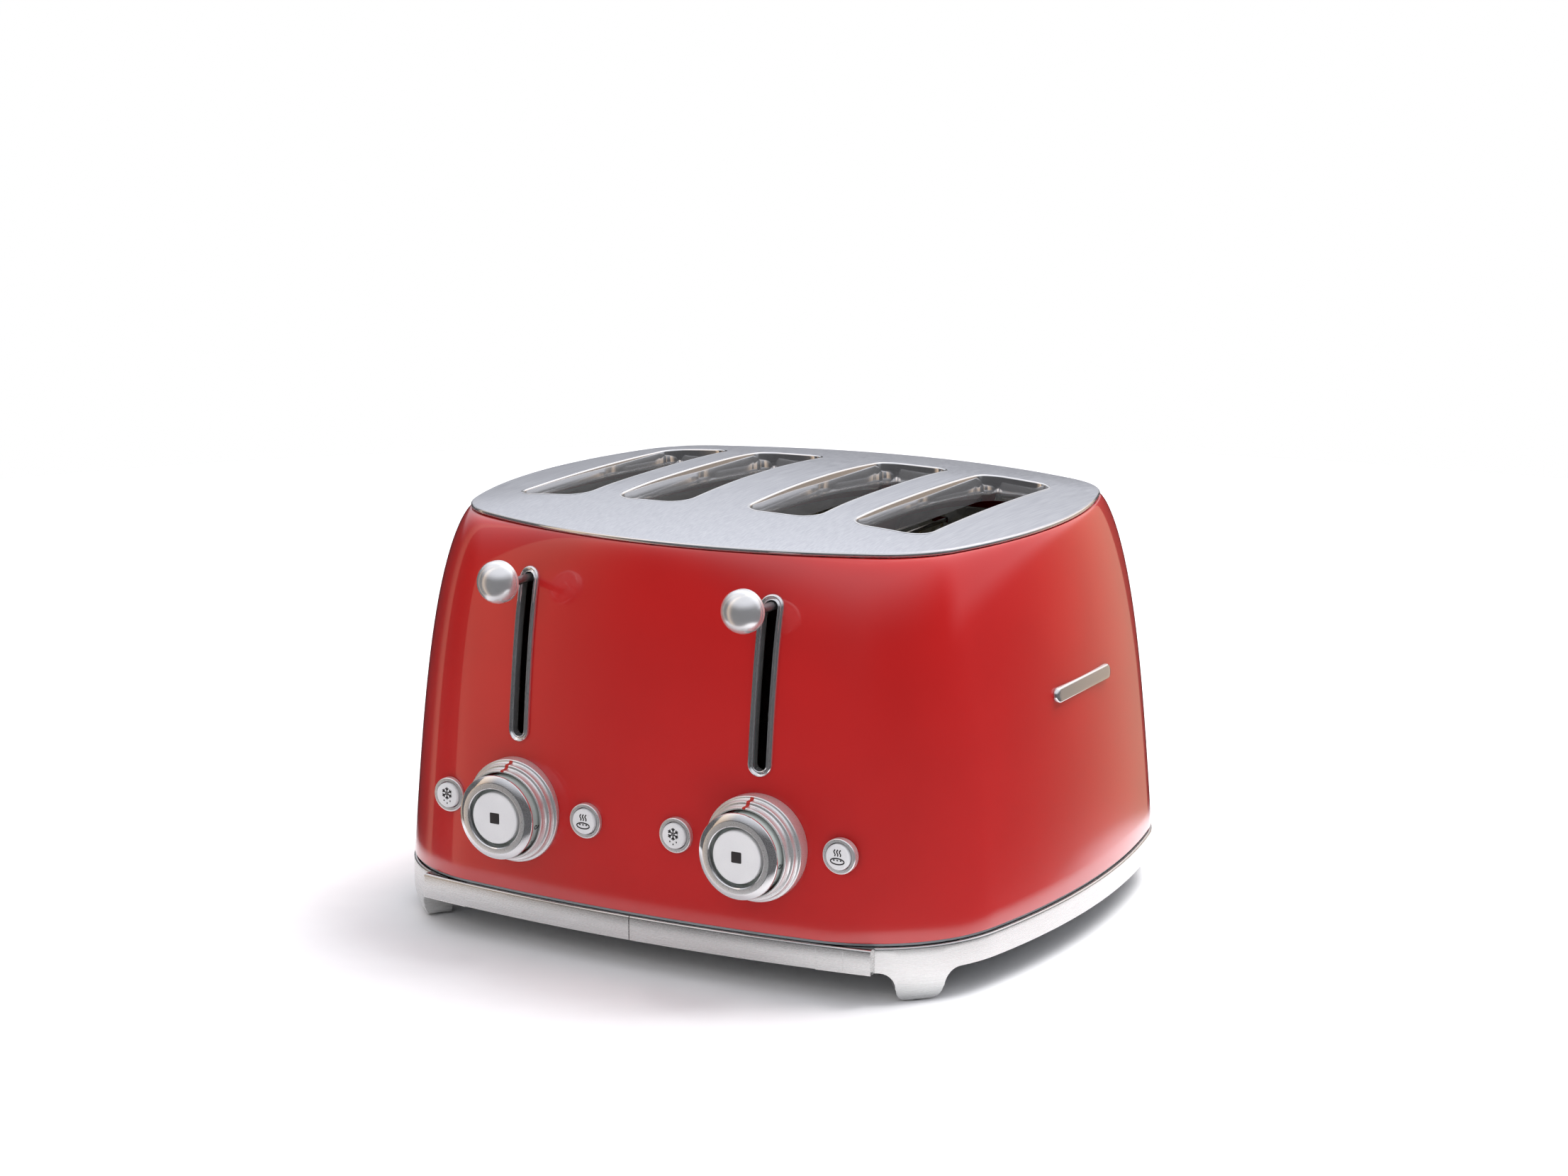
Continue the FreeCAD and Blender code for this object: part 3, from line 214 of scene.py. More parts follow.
def brushed_steel_plate():
    """Stainless sheet brushed along its length: short bright lines and a soft wide gloss."""
    material = surface("brushed_stainless_plate", "#cfd0d4", 0.34, 1.0)
    lines = spots(material, 0.5, (1, 0.02, 1), 3.0)
    shades(material, lines, "#c6c7cc", "#d8d9dc")
    rough(material, lines, 0.3, 0.38)
    return bumps(material, lines, 0.0025)


def satin_steel_band():
    """Steel strip polished, then dulled: an even pale grey with faint lengthwise lines."""
    material = surface("satin_steel_band", "#d2d2d1", 0.27, 0.9)
    lines = spots(material, 0.25, (0.02, 0.02, 1), 2.0)
    shades(material, lines, "#cfcfce", "#d6d6d5")
    rough(material, lines, 0.25, 0.29)
    return bumps(material, lines, 0.0004)


def bright_chrome():
    """Chrome plate on zinc or steel: a near mirror with the faint waves of its polishing."""
    material = surface("bright_chrome", "#e6e6e7", 0.07, 0.88)
    waves = spots(material, 4.0)
    rough(material, waves, 0.05, 0.09)
    return bumps(material, waves, 0.001)


def satin_chrome():
    """Pearl chrome on turned brass: bright, but its highlights spread."""
    material = surface("satin_chrome", "#ececec", 0.3, 0.75)
    grit = spots(material, 0.4)
    rough(material, grit, 0.27, 0.32)
    return bumps(material, grit, 0.0003)


def knob_chrome():
    """Satin chrome of the lever knobs, a little duller than the dial trim."""
    material = surface("satin_chrome_knob", "#e4e4e5", 0.24, 0.75)
    return rough(material, spots(material, 0.7), 0.21, 0.27)


def moulded(name, colour, darker, roughness):
    """Moulded ABS with the fine spark-eroded grain of its tool."""
    material = surface(name, colour, roughness, IOR=1.53)
    grain = spots(material, 0.35)
    shades(material, spots(material, 25), darker, colour)
    rough(material, grain, roughness - 0.04, roughness + 0.06)
    return bumps(material, grain, 0.012)


def galvanised_sheet():
    """Zinc-coated steel: a dull spangle of grey patches with pin-sharp borders."""
    material = surface("galvanised_steel", "#8d9092", 0.42, 1.0)
    spangle = cells(material, 7)["Color"]
    shades(material, spangle, "#7f8284", "#a3a6a8", 0.1, 0.9)
    rough(material, spangle, 0.34, 0.5)
    return bumps(material, spots(material, 1.2), 0.01)


def nickel_wire():
    """Nickel-plated steel wire, drawn and slightly heat-tinted near the elements."""
    material = surface("nickel_plated_wire", "#b5b1a8", 0.26, 1.0)
    shades(material, spots(material, 18), "#a39a88", "#bdbab4")
    return bumps(material, spots(material, 0.5), 0.006)


def mica_board():
    """Pressed mica: silvery brown flakes with a waxy sheen."""
    material = surface("pressed_mica", "#b3a27c", 0.45, IOR=1.58)
    flakes = cells(material, 3)
    shades(material, flakes["Color"], "#94835f", "#c6b894", 0.1, 0.9)
    rough(material, flakes["Color"], 0.3, 0.55)
    return bumps(material, flakes["Distance"], 0.02)


def resistance_ribbon():
    """Iron-chrome resistance ribbon, oxidised grey-brown by use."""
    material = surface("oxidised_resistance_ribbon", "#6d625a", 0.5, 1.0)
    shades(material, spots(material, 6), "#574b43", "#7d736b")
    return bumps(material, spots(material, 0.6), 0.008)


def spring_steel():
    """Patented spring wire with the dark drawing film left on."""
    material = surface("drawn_spring_wire", "#8a8b8e", 0.3, 1.0)
    shades(material, spots(material, 2.0), "#77787b", "#97989b")
    return bumps(material, spots(material, 0.3), 0.004)


def copper_winding():
    """Enamelled copper wire wound in close level turns, 0.4 mm apart; its colour is darker in the grooves
    between turns as painted shade and lighter on their crests as a painted highlight.
    """
    material = surface(
        "enamelled_copper_winding", "#b3622f", 0.3, 1.0, Coat_Weight=0.6, Coat_Roughness=0.15
    )
    pitch, waves_per_unit = 0.4 * MM, 20 / (2 * pi)
    turns = add(
        material, "TexWave", {"bands_direction": "Z", "wave_profile": "SIN"},
        Vector=on_piece(material), Scale=1 / (waves_per_unit * pitch), Distortion=0.2,
    ).outputs["Fac"]
    # painted shade and highlight: the colour follows the relief of the turns, dark in the grooves and light
    # on the crests
    shades(material, turns, "#7d3f1c", "#c87743", 0.2, 0.8)
    return bumps(material, turns, 0.12)


def circuit_board():
    """Glass-epoxy board under green solder mask, with the weave just showing."""
    material = surface("green_solder_mask", "#1d5b34", 0.35, IOR=1.55, Coat_Weight=0.3)
    shades(material, spots(material, 2.4, (1, 1, 1), 0.0), "#174a2a", "#226a3d", 0.45, 0.55)
    return bumps(material, spots(material, 0.9), 0.02)


def foot_rubber():
    """Black nitrile rubber, matt and faintly dusty."""
    material = surface("nitrile_rubber", "#1d1d1d", 0.72, IOR=1.52)
    shades(material, spots(material, 1.5), "#181818", "#262626")
    return bumps(material, spots(material, 0.5), 0.03)


def printing_ink(name, colour):
    """Pad-printed ink: a thin matt film with slightly uneven cover."""
    material = surface(name, colour, 0.5, IOR=1.48)
    return rough(material, spots(material, 0.3), 0.42, 0.58)


ENAMEL = red_enamel()
PLATE = brushed_steel_plate()
BAND = satin_steel_band()
CHROME = bright_chrome()
SATIN = satin_chrome()
KNOB = knob_chrome()
SLEEVE = moulded("abs_pale_grey_green", "#c3cac6", "#b9c1bd", 0.34)
BUTTON = moulded("abs_silver_grey", "#dededf", "#d6d6d8", 0.3)
BLACK = moulded("abs_black", "#161617", "#101011", 0.5)
SEAM = moulded("abs_seam_grey", "#8f979b", "#858d91", 0.35)
ZINC = galvanised_sheet()
WIRE = nickel_wire()
MICA = mica_board()
RIBBON = resistance_ribbon()
SPRING = spring_steel()
COPPER = copper_winding()
BOARD = circuit_board()
RUBBER = foot_rubber()
DARK_INK = printing_ink("dark_grey_ink", "#2e2b2d")
RED_INK = printing_ink("red_ink", "#b52a20")


# ---- the body's curve

def lean(z):
    """How far the outline has gone from its bottom size (0) to its top size (1)."""
    up = min(max((z - SHELL_BASE) / (SHELL_TOP - SHELL_BASE), 0.0), 1.0)
    round_in = 1 - (1 - up ** SHOULDER_POWER) ** (1 / SHOULDER_ROOT)
    return TAPER_SHARE * up + (1 - TAPER_SHARE) * round_in


RIGHT_ARC, CORNER_ARC, BACK_ARC, FRONT_ARC = 0, 1, 2, 6


@lru_cache(maxsize=None)
def arcs(share):
    """Eight arcs of a level outline from the right round by the back: centre, radius, end angles."""
    pairs = (HALF_WIDE, HALF_DEEP, FRONT_BOW, SIDE_BOW, CORNER)
    wide, deep, front, side, corner = [low + (high - low) * share for low, high in pairs]
    side_x, front_y = wide - side, deep - front
    apart = hypot(side_x, front_y)
    reach_front, reach_side = front - corner, side - corner
    along = (reach_front ** 2 - reach_side ** 2 + apart ** 2) / (2 * apart)
    off = sqrt(reach_front ** 2 - along ** 2)
    step_x, step_y = side_x / apart, -front_y / apart
    cx, cy = max(
        (along * step_x + sign * off * step_y, front_y + along * step_y - sign * off * step_x)
        for sign in (1, -1)
    )
    steep, flat = atan2(cy - front_y, cx), atan2(cy, cx - side_x)
    half = [
        (side_x, 0, side, -flat, flat),
        (cx, cy, corner, flat, steep),
        (0, front_y, front, steep, pi - steep),
        (-cx, cy, corner, pi - steep, pi - flat),
    ]
    return half + [(-x, -y, radius, start + pi, end + pi) for x, y, radius, start, end in half]


def station(share, inset, column):
    """A point of an outline, held in from it by inset."""
    arc, part = column
    centre_x, centre_y, radius, start, end = arcs(share)[arc]
    angle = start + (end - start) * part
    return centre_x + (radius - inset) * cos(angle), centre_y + (radius - inset) * sin(angle)


def front_face(x, z):
    """Distance ahead of the middle to the shell's front face."""
    centre_y, radius = arcs(lean(z))[FRONT_ARC][1:3]
    return -centre_y + sqrt(radius ** 2 - x ** 2)


def side_face(y, z):
    """Distance right of the middle to the shell's side face."""
    centre_x, _, radius = arcs(lean(z))[RIGHT_ARC][:3]
    return centre_x + sqrt(radius ** 2 - y ** 2)


ARC_STEPS = (52, 26, 64, 26, 52, 26, 64, 26)
ROUND = [(arc, step / steps) for arc, steps in enumerate(ARC_STEPS) for step in range(steps)]
ROUND.append((7, 1.0))


def dome_height(x, y):
    """Height of the top plate's crown over a point."""
    x, y = abs(x), abs(y)
    for number in (BACK_ARC, RIGHT_ARC, CORNER_ARC):
        cx, cy, radius, start, end = arcs(1.0)[number]
        dot, square = x * cx + y * cy, x * x + y * y
        grow = (dot + sqrt(dot * dot - square * (cx * cx + cy * cy - radius ** 2))) / square
        if start <= atan2(y * grow - cy, x * grow - cx) <= end:
            break
    return RIM_TOP + DOME_RISE * (1 - min(1 / grow, 1.0) ** 2)


# ---- making pieces

def mode(word):
    bpy.ops.object.mode_set(mode=word)


def alone():
    """Leave nothing selected, so that an operator acts on its own piece only."""
    bpy.ops.object.select_all(action="DESELECT")


def picked(piece):
    alone()
    piece.select_set(True)
    bpy.context.view_layer.objects.active = piece


def closed_up(piece, angle=34.0):
    """Merge seams and poles, fill open ends, turn faces outward and shade by angle."""
    picked(piece)
    mode("EDIT")
    bpy.ops.mesh.select_all(action="SELECT")
    bpy.ops.mesh.remove_doubles(threshold=1e-6)
    bpy.ops.mesh.fill_holes(sides=0)
    bpy.ops.mesh.select_all(action="SELECT")
    bpy.ops.mesh.normals_make_consistent(inside=False)
    mode("OBJECT")
    bpy.ops.object.shade_smooth_by_angle(angle=radians(angle))
    return piece


def swept(name, columns, rows, place, angle=34.0):
    """A closed skin on a grid whose corners are put where place(column, row) says."""
    alone()
    across, along = len(columns) - 1, len(rows) - 1
    bpy.ops.mesh.primitive_grid_add(x_subdivisions=across, y_subdivisions=along, size=1)
    piece = bpy.context.object
    piece.name = piece.data.name = name
    for corner in piece.data.vertices:
        column = columns[round((corner.co.x + 0.5) * across)]
        row = rows[round((corner.co.y + 0.5) * along)]
        corner.co = at(*place(column, row))
    return closed_up(piece, angle)


def turned(name, profile, spot, steps=96):
    """A profile of (radius, distance ahead), drawn edge by edge and spun about a spot of the front."""
    def point(radius, reach):
        return at(spot[0], -reach, spot[1] + radius)

    alone()
    places = [point(*pair) for pair in profile]
    bpy.ops.mesh.primitive_plane_add(size=MM)
    piece = bpy.context.object
    piece.name = piece.data.name = name
    mode("EDIT")
    bpy.ops.mesh.merge(type="CENTER")
    bpy.ops.transform.translate(value=places[0])
    for start, end in zip(places, places[1:]):
        bpy.ops.mesh.extrude_region_move(TRANSFORM_OT_translate={"value": end - start})
    bpy.ops.mesh.select_all(action="SELECT")
    bpy.ops.mesh.spin(steps=steps, angle=2 * pi, center=point(0, 0), axis=(0, 1, 0))
    mode("OBJECT")
    return closed_up(piece)


def coat(piece, *materials):
    piece.data.materials.clear()
    for material in materials:
        piece.data.materials.append(material)


def finished(piece, material, body, slot, *nodes):
    """Give a piece its finish, let it ride on its body and stand for its nodes."""
    if material is not None:
        coat(piece, material)
    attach(piece, body)
    if nodes:
        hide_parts(*nodes)


def two_finishes(piece, main, other, is_other):
    """Give a piece a second finish on the faces whose middles it is asked for."""
    coat(piece, main, other)
    for face in piece.data.polygons:
        face.material_index = int(is_other(face.center))


def joined(name, pieces):
    """Several pieces made one."""
    picked(pieces[0])
    for piece in pieces:
        piece.select_set(True)
    bpy.ops.object.join()
    pieces[0].name = pieces[0].data.name = name
    return pieces[0]


def rounding(centre, radius, start, end, steps=5):
    """Points of a rounded edge, from one angle to another in degrees."""
    angles = [radians(start + (end - start) * n / steps) for n in range(steps + 1)]
    return [(centre[0] + radius * cos(a), centre[1] + radius * sin(a)) for a in angles]


def applied(piece, kind, **settings):
    """Apply a modifier with its settings."""
    modifier = piece.modifiers.new(kind, kind)
    for word, value in settings.items():
        setattr(modifier, word, value)
    bpy.ops.object.modifier_apply(modifier=kind)


def pierced(piece, cutters):
    """Cut holes, then give the skin back the even shading that it had whole."""
    tool = joined("cutters", cutters)
    picked(piece)
    bpy.ops.object.duplicate()
    whole = bpy.context.object
    picked(piece)
    applied(piece, "BOOLEAN", operation="DIFFERENCE", solver="EXACT", object=tool)
    applied(
        piece, "DATA_TRANSFER", object=whole, use_loop_data=True, data_types_loops={"CUSTOM_NORMAL"},
        loop_mapping="POLYINTERP_NEAREST", use_max_distance=True, max_distance=0.3 * MM,
    )
    for spare in (tool, whole):
        bpy.data.objects.remove(spare, do_unlink=True)
    return piece


def soft_rectangle(half_x, half_y, radius, steps, grow=0.0):
    """Points round a rectangle with round corners, at a distance outside its edge."""
    points = []
    for quarter, (right, up) in enumerate(((1, 1), (-1, 1), (-1, -1), (1, -1))):
        middle = right * (half_x - radius), up * (half_y - radius)
        points += rounding(middle, radius + grow, 90 * quarter, 90 * quarter + 90, steps)
    return points


def slot_rim(low, high, steps, pieces=1):
    """Directions round an upright slot with round ends, each with its own centre's height."""
    half_turn = rounding((0, 0), 1, 0, 180, steps)
    steps_up = [(high - low) * n / pieces for n in range(1, pieces)]
    rim = [(x, z, high) for x, z in half_turn] + [(-1, 0, high - step) for step in steps_up]
    rim += [(-x, -z, low) for x, z in half_turn] + [(1, 0, low + step) for step in steps_up]
    return rim + rim[:1]


def ring_place(x, z):
    """Places a ring's (radius, reach) about a point of the front; no reach follows the shell."""
    def place(angle, row):
        radius, reach = row
        ring_x, ring_z = x + radius * sin(angle), z + radius * cos(angle)
        return ring_x, -(front_face(ring_x, ring_z) + 0.1 if reach is None else reach), ring_z
    return place


DRILL_REACH = (100.0, 170.0)


def bar_cutter(x, low, high, width):
    """A drill for a round-ended upright slot through the front."""
    half = width / 2

    def place(column, row):
        across, up, base = column
        return x + half * across, -row, base + half * up

    return swept("drill", slot_rim(low + half, high - half, 12), DRILL_REACH, place)


def round_cutter(x, z, radius, way=1):
    """A drill for a round hole through the front, or the back with way -1."""
    start, end = [way * reach for reach in DRILL_REACH]
    return turned("drill", [(0, start), (radius, start), (radius, end), (0, end)], (x, z), steps=32)


# ---- enamelled shell

SHAFT_HOLE, BUTTON_HOLE, LEVER_HOLE, LEVER_MARGIN = 6.0, 6.5, 9.6, 1
CORD_Z, CORD_HOLE = 44.0, 6.0


def enamelled_shell():
    """Wrap-round shell: leaning walls, tight shoulder, narrow flange and a rolled hem."""
    hem = SHELL_WALL / 2
    rows = [(0.0, inset, z) for inset, z in rounding((hem, SHELL_BASE + hem), hem, 0, -180, 6)]
    risers = [1 - (1 - step / 40) ** 2.2 for step in range(1, 41)]
    span = SHELL_TOP - SHELL_BASE
    rows += [(lean(SHELL_BASE + up * span), 0.0, SHELL_BASE + up * span) for up in risers]
    rows += [(1.0, SHELL_FLANGE, SHELL_TOP), (1.0, SHELL_FLANGE, SHELL_TOP - SHELL_WALL)]
    inner = span - SHELL_WALL
    rows += [(lean(SHELL_BASE + up * span), SHELL_WALL, SHELL_BASE + up * inner) for up in risers[-4::-2]]
    rows.append(rows[0])
    shell = swept("enamelled_shell", ROUND, rows, lambda column, row: (*station(*row[:2], column), row[2]))
    low, high = SLOT_ENDS[0] + LEVER_MARGIN, SLOT_ENDS[1] - LEVER_MARGIN
    cutters = []
    for _, sign in SIDES:
        cutters.append(bar_cutter(sign * LEVER_X, low, high, LEVER_HOLE))
        cutters.append(round_cutter(sign * DIAL_X, DIAL_Z, SHAFT_HOLE))
        for spread in (-BUTTON_SPREAD, BUTTON_SPREAD):
            cutters.append(round_cutter(sign * (DIAL_X + spread), BUTTON_Z, BUTTON_HOLE))
    cutters.append(round_cutter(0, CORD_Z, CORD_HOLE, -1))
    finished(pierced(shell, cutters), ENAMEL, "housing", "red_enamel", "outer_shell")


# ---- top plate

def slot_ring(grow):
    """Points round a bread slot, at a distance outside its edge, its straights in short runs."""
    corners = soft_rectangle(*SLOT_HALF, SLOT_CORNER, 8, grow)
    ring = []
    for (x, y), (after_x, after_y) in zip(corners, corners[1:] + corners[:1]):
        run_x, run_y = after_x - x, after_y - y
        run = hypot(run_x, run_y)
        pieces = int(run // 8) if run > 15 else 1
        ring += [(x + run_x * k / pieces, SLOT_SHIFT + y + run_y * k / pieces) for k in range(pieces)]
    return ring + ring[:1]


def slot_sweep(name, centre, section):
    """A skin round one slot; a height under 20 is measured from the crown."""
    rings = {grow: slot_ring(grow) for grow, _ in section}

    def place(column, row):
        grow, height = row
        x, y = rings[grow][column]
        x += centre
        return x, y, dome_height(x, y) + height if height < 20 else height

    columns = range(len(rings[section[0][0]]))
    return swept(name, columns, section + section[:1], place)


def domed_plate():
    """Crowned plate with a polished bead round its edge and four long slots."""
    edge = RIM_BEAD + PLATE_GAP
    bead = rounding((edge, PLATE_BASE + RIM_BEAD), RIM_BEAD, 270, 90, 12)
    rows = [("edge", inset, z) for inset, z in bead]
    rows += [("crown", 1 - (n / 26) ** 1.15, 0.0) for n in range(1, 27)]
    rows += [("crown", share, -PLATE_WALL) for share in (0.0, 0.3, 0.6, 0.85, 0.96)]
    rows.append(rows[0])

    def place(column, row):
        kind, value, height = row
        if kind == "edge":
            return (*station(1.0, value, column), height)
        x, y = station(1.0, edge, column)
        return x * value, y * value, RIM_TOP + DOME_RISE * (1 - value ** 2) + height

    plate = swept("domed_plate", ROUND, rows, place)
    two_finishes(plate, PLATE, CHROME, lambda middle: middle.z < (RIM_TOP - 0.35) * MM)
    cutters = [slot_sweep("drill", x, [(1.4, -8.0), (1.4, 6.0)]) for x in SLOT_SPOTS]
    finished(pierced(plate, cutters), None, "housing", "brushed_plate", "top_plate")


def slot_collars():
    """Rolled lip and turned-down collar of each bread slot."""
    lip = [(1.5, -1.2), (1.5, 0.0), (1.25, 0.05), (0.9, 0.08), (0.5, 0.0), (0.2, -0.25), (0.0, -0.7)]
    collar = [(0.0, COLLAR_BOTTOM + 0.1), (0.25, COLLAR_BOTTOM), (0.75, COLLAR_BOTTOM)]
    collar += [(1.0, COLLAR_BOTTOM + 0.1), (1.0, -1.2)]
    for number, x in enumerate(SLOT_SPOTS, 1):
        ring = slot_sweep(f"slot_collar_{number}", x, lip + collar)
        finished(ring, CHROME, "housing", "bright_chrome", "top_plate")


# ---- base band and trays

BAND_BOTTOM = 15.0
BAND_PROUD, BAND_WALL, BAND_HEM = 0.4, 2.0, 1.1
TRAY_HALF, TRAY_SEAM, TRAY_BACK = 121.4, 0.2, 136.0
LEG_HALF, LEG_SLANT, LEG_FLARE, LEG_ROUND = 11.8, 0.6, 8.0, 4.5
LEG_THICK, LEG_TUCK, LEG_FOOT = 15.0, 3.6, 0.8
LEG_TOE, LEG_END = LEG_HALF - LEG_SLANT, LEG_HALF + LEG_FLARE


def leg_edge(off):
    """Lowest point of the band at a distance from a corner's middle, along the floor."""
    off = abs(off)
    ankle, knee = LEG_FOOT + LEG_ROUND, BAND_BOTTOM - LEG_FLARE
    if off <= LEG_TOE - LEG_ROUND:
        return LEG_FOOT
    if off <= LEG_TOE:
        return ankle - sqrt(max(LEG_ROUND ** 2 - (off - LEG_TOE + LEG_ROUND) ** 2, 0))
    if off <= LEG_HALF:
        return ankle + (knee - ankle) * (off - LEG_TOE) / LEG_SLANT
    if off < LEG_END:
        return knee + sqrt(LEG_FLARE ** 2 - (LEG_END - off) ** 2)
    return BAND_BOTTOM


def corner_middle(arc):
    """The angle at the middle of a corner arc's foot."""
    return radians(45 + 90 * ((arc - 1) // 2))


def corner_columns(arc):
    """Columns of a corner arc, close together where the foot's edge curves."""
    radius, start, end = arcs(0.0)[arc][2:]
    middle = corner_middle(arc)
    flat = LEG_TOE - LEG_ROUND
    offs = [0.0, 3.4, flat]
    offs += [flat + LEG_ROUND * sin(radians(a)) for a in (18, 36, 54, 72, 84)]
    offs += [LEG_TOE, LEG_HALF]
    offs += [LEG_END - LEG_FLARE * cos(radians(a)) for a in (12, 24, 36, 48, 60, 72, 84)]
    offs += [LEG_END, LEG_END + 0.05]
    angles = [middle + sign * asin(off / (radius + BAND_PROUD)) for off in offs for sign in (1, -1)]
    steps = 16
    even = [start + (end - start) * n / steps for n in range(steps + 1)]
    angles += [angle for angle in even if abs(sin(angle - middle)) * radius > LEG_END + 1]
    parts = sorted({round((angle - start) / (end - start), 6) for angle in angles})
    return [(arc, part) for part in parts if 0 <= part <= 1]


def tuck(z):
    """How far a foot's face is drawn in at a height."""
    straight = BAND_BOTTOM - 2
    down = min(max((straight - z) / (straight - LEG_FOOT), 0.0), 1.0)
    return LEG_TUCK * down ** 2.2


BAND_EDGE = rounding((BAND_HEM, BAND_TOP - BAND_HEM), BAND_HEM, 180, 90, 5)


def footed_band():
    """Steel band round the back and sides, drawn down into four flared feet."""
    radius, low, high = arcs(0.0)[FRONT_ARC][2:]
    share = asin(TRAY_HALF / (radius + BAND_PROUD))
    start = (1.5 * pi + share - low) / (high - low)
    columns = [(FRONT_ARC, start), (FRONT_ARC, (1 + start) / 2)] + corner_columns(7)
    for number in range(FRONT_ARC):
        if number % 2:
            columns += corner_columns(number)
        else:
            steps = ARC_STEPS[number]
            columns += [(number, step / steps) for step in range(1, steps)]
    columns += [(FRONT_ARC, (1 - start) / 2), (FRONT_ARC, 1 - start)]
    rows = [("wall", part) for part in (0.0, 0.03, 0.1, 0.22, 0.36, 0.52, 0.7, 0.86, 1.0)]
    rows += [("top", pair) for pair in BAND_EDGE]
    rows += [("back", 1.0), ("back", 0.5), ("back", 0.0), ("wall", 0.0)]

    def place(column, row):
        arc, part = column
        radius, low, high = arcs(0.0)[arc][2:]
        edge, thick, back_top = BAND_BOTTOM, BAND_WALL, BAND_TOP
        if arc % 2:
            off = (radius + BAND_PROUD) * sin(low + (high - low) * part - corner_middle(arc))
            edge = leg_edge(off)
            if abs(off) < LEG_END + 0.02:
                thick, back_top = LEG_THICK, BAND_BOTTOM + 1.5
        kind, value = row
        if kind == "wall":
            z = edge + (BAND_TOP - BAND_HEM - edge) * value
            inset = tuck(z)
        elif kind == "top":
            inset, z = value
        else:
            inset, z = thick, edge + (back_top - edge) * value
        return (*station(0.0, inset - BAND_PROUD, column), z)

    band = swept("footed_band", columns, rows, place, 30.0)
    finished(band, BAND, "housing", "bright_chrome", "base_band")


def tray_fronts():
    """Front lengths of the band, one to each crumb tray, with a fine gap between them."""
    foot, steps = 0.5, 30
    centre_y, radius = arcs(0.0)[FRONT_ARC][1:3]
    low = asin(TRAY_SEAM / radius)
    high = asin((TRAY_HALF - TRAY_SEAM) / (radius + BAND_PROUD))
    turns = [low + (high - low) * n / steps for n in range(steps + 1)]
    section = rounding((foot, BAND_BOTTOM + foot), foot, 270, 180, 3) + BAND_EDGE
    section += [("back", BAND_TOP), ("back", BAND_BOTTOM)]
    for side, sign in SIDES:
        def place(turn, row):
            inset, z = row
            reach = radius + BAND_PROUD - (0 if inset == "back" else inset)
            x, y = reach * sin(turn), centre_y - reach * cos(turn)
            if inset == "back":
                y = max(-TRAY_BACK, y + BAND_WALL)
            return sign * x, y, z

        front = swept(f"tray_front_bar_{side}", turns, section + section[:1], place, 30.0)
        finished(front, BAND, f"tray_{side}", "bright_chrome", f"tray_front_{side}")


# ---- levers

def lever_bezels():
    """Double-rimmed polished frames of the two lever slots."""
    half = 5.8
    outer_rim = [(half, 0.05), (5.76, 0.7), (5.55, 1.15), (5.15, 1.38), (4.8, 1.2), (4.5, 0.7)]
    inner_rim = [(4.2, 0.5), (3.9, 0.62), (3.7, 0.95), (3.45, 1.12), (3.2, 0.98), (3.1, 0.6)]
    section = outer_rim + inner_rim + [(3.1, -3.0), (4.7, -3.0), (4.7, 0.05)] + outer_rim[:1]
    rim = slot_rim(SLOT_ENDS[0] + half, SLOT_ENDS[1] - half, 20, 14)
    for side, sign in SIDES:
        def place(column, row):
            across, up, base = column
            x, z = sign * (LEVER_X + across * row[0]), base + up * row[0]
            return x, -(front_face(x, z) + row[1]), z

        bezel = swept(f"lever_bezel_{side}", rim, section, place)
        finished(bezel, CHROME, "housing", "bright_chrome", "lever_bezels")


def lever_knobs():
    """Round-nosed knobs with a short straight collar behind the dome."""
    radius, edge, middle, back, soft = 10.25, 2.4, 158.5, 156.3, 1.2
    collar = sqrt(radius ** 2 - edge ** 2)
    groove = collar - 0.12
    body = [(0.0, back), (2.6, back), (2.6, back + 0.3), (7.5, back + 0.3), (7.7, back)]
    body += rounding((collar - soft, back + soft), soft, 270, 360, 6)
    body += [(collar, middle + 0.4), (groove, middle + 0.5), (groove, middle + 0.7), (collar, middle + 0.8)]
    dome = rounding((0.0, middle), radius, degrees(asin(edge / radius)), 90, 28)
    dome[-1] = (0.0, middle + radius)
    for side, sign in SIDES:
        low, high = box_mm(f"lever_ball_{side}")
        knob = turned(f"lever_knob_{side}", body + dome, (sign * LEVER_X, (low.z + high.z) / 2))
        two_finishes(knob, KNOB, SATIN, lambda face: face.y > (SHIFT - middle - 0.45) * MM)
        finished(knob, None, f"lift_carriage_{side}", "bright_chrome", f"lever_ball_{side}")


# ---- dials

BEZEL_BORE, BEZEL_RADIUS, COLLAR_RADIUS = 20.3, 24.8, 21.4
SLEEVE_RADIUS, SLEEVE_BACK = 19.0, 150.4
CAP_RADIUS, CAP_BORE = 20.1, 14.1
CAP_BACK, CAP_FRONT, CAP_FLOOR = 163.3, 166.5, 160.0
SHAFT_BORE, SHAFT_RADIUS = 2.5, 5.0
STOP_RADIUS, STOP_BACK, STOP_FRONT = 12.35, 162.4, 166.0
PLUNGER_RADIUS = 2.0
NUMERAL_REACH, NUMERAL_HEIGHT = 159.0, 4.1
INK_LIFT = 0.05
ANGLES = [2 * pi * n / 96 for n in range(97)]

BEZEL_STEPS = (
    [(BEZEL_RADIUS, 150.5)] + rounding((24.1, 150.5), 0.7, 0, 90, 4)
    + [(23.6, 151.35), (23.2, 151.9), (23.2, 152.3)] + rounding((22.6, 154.4), 0.6, 0, 90, 3)
    + [(21.9, 155.15), (21.5, 155.7), (COLLAR_RADIUS, 156.2), (COLLAR_RADIUS, 158.5)]
    + rounding((20.85, 158.55), 0.55, 0, 180, 6)
)


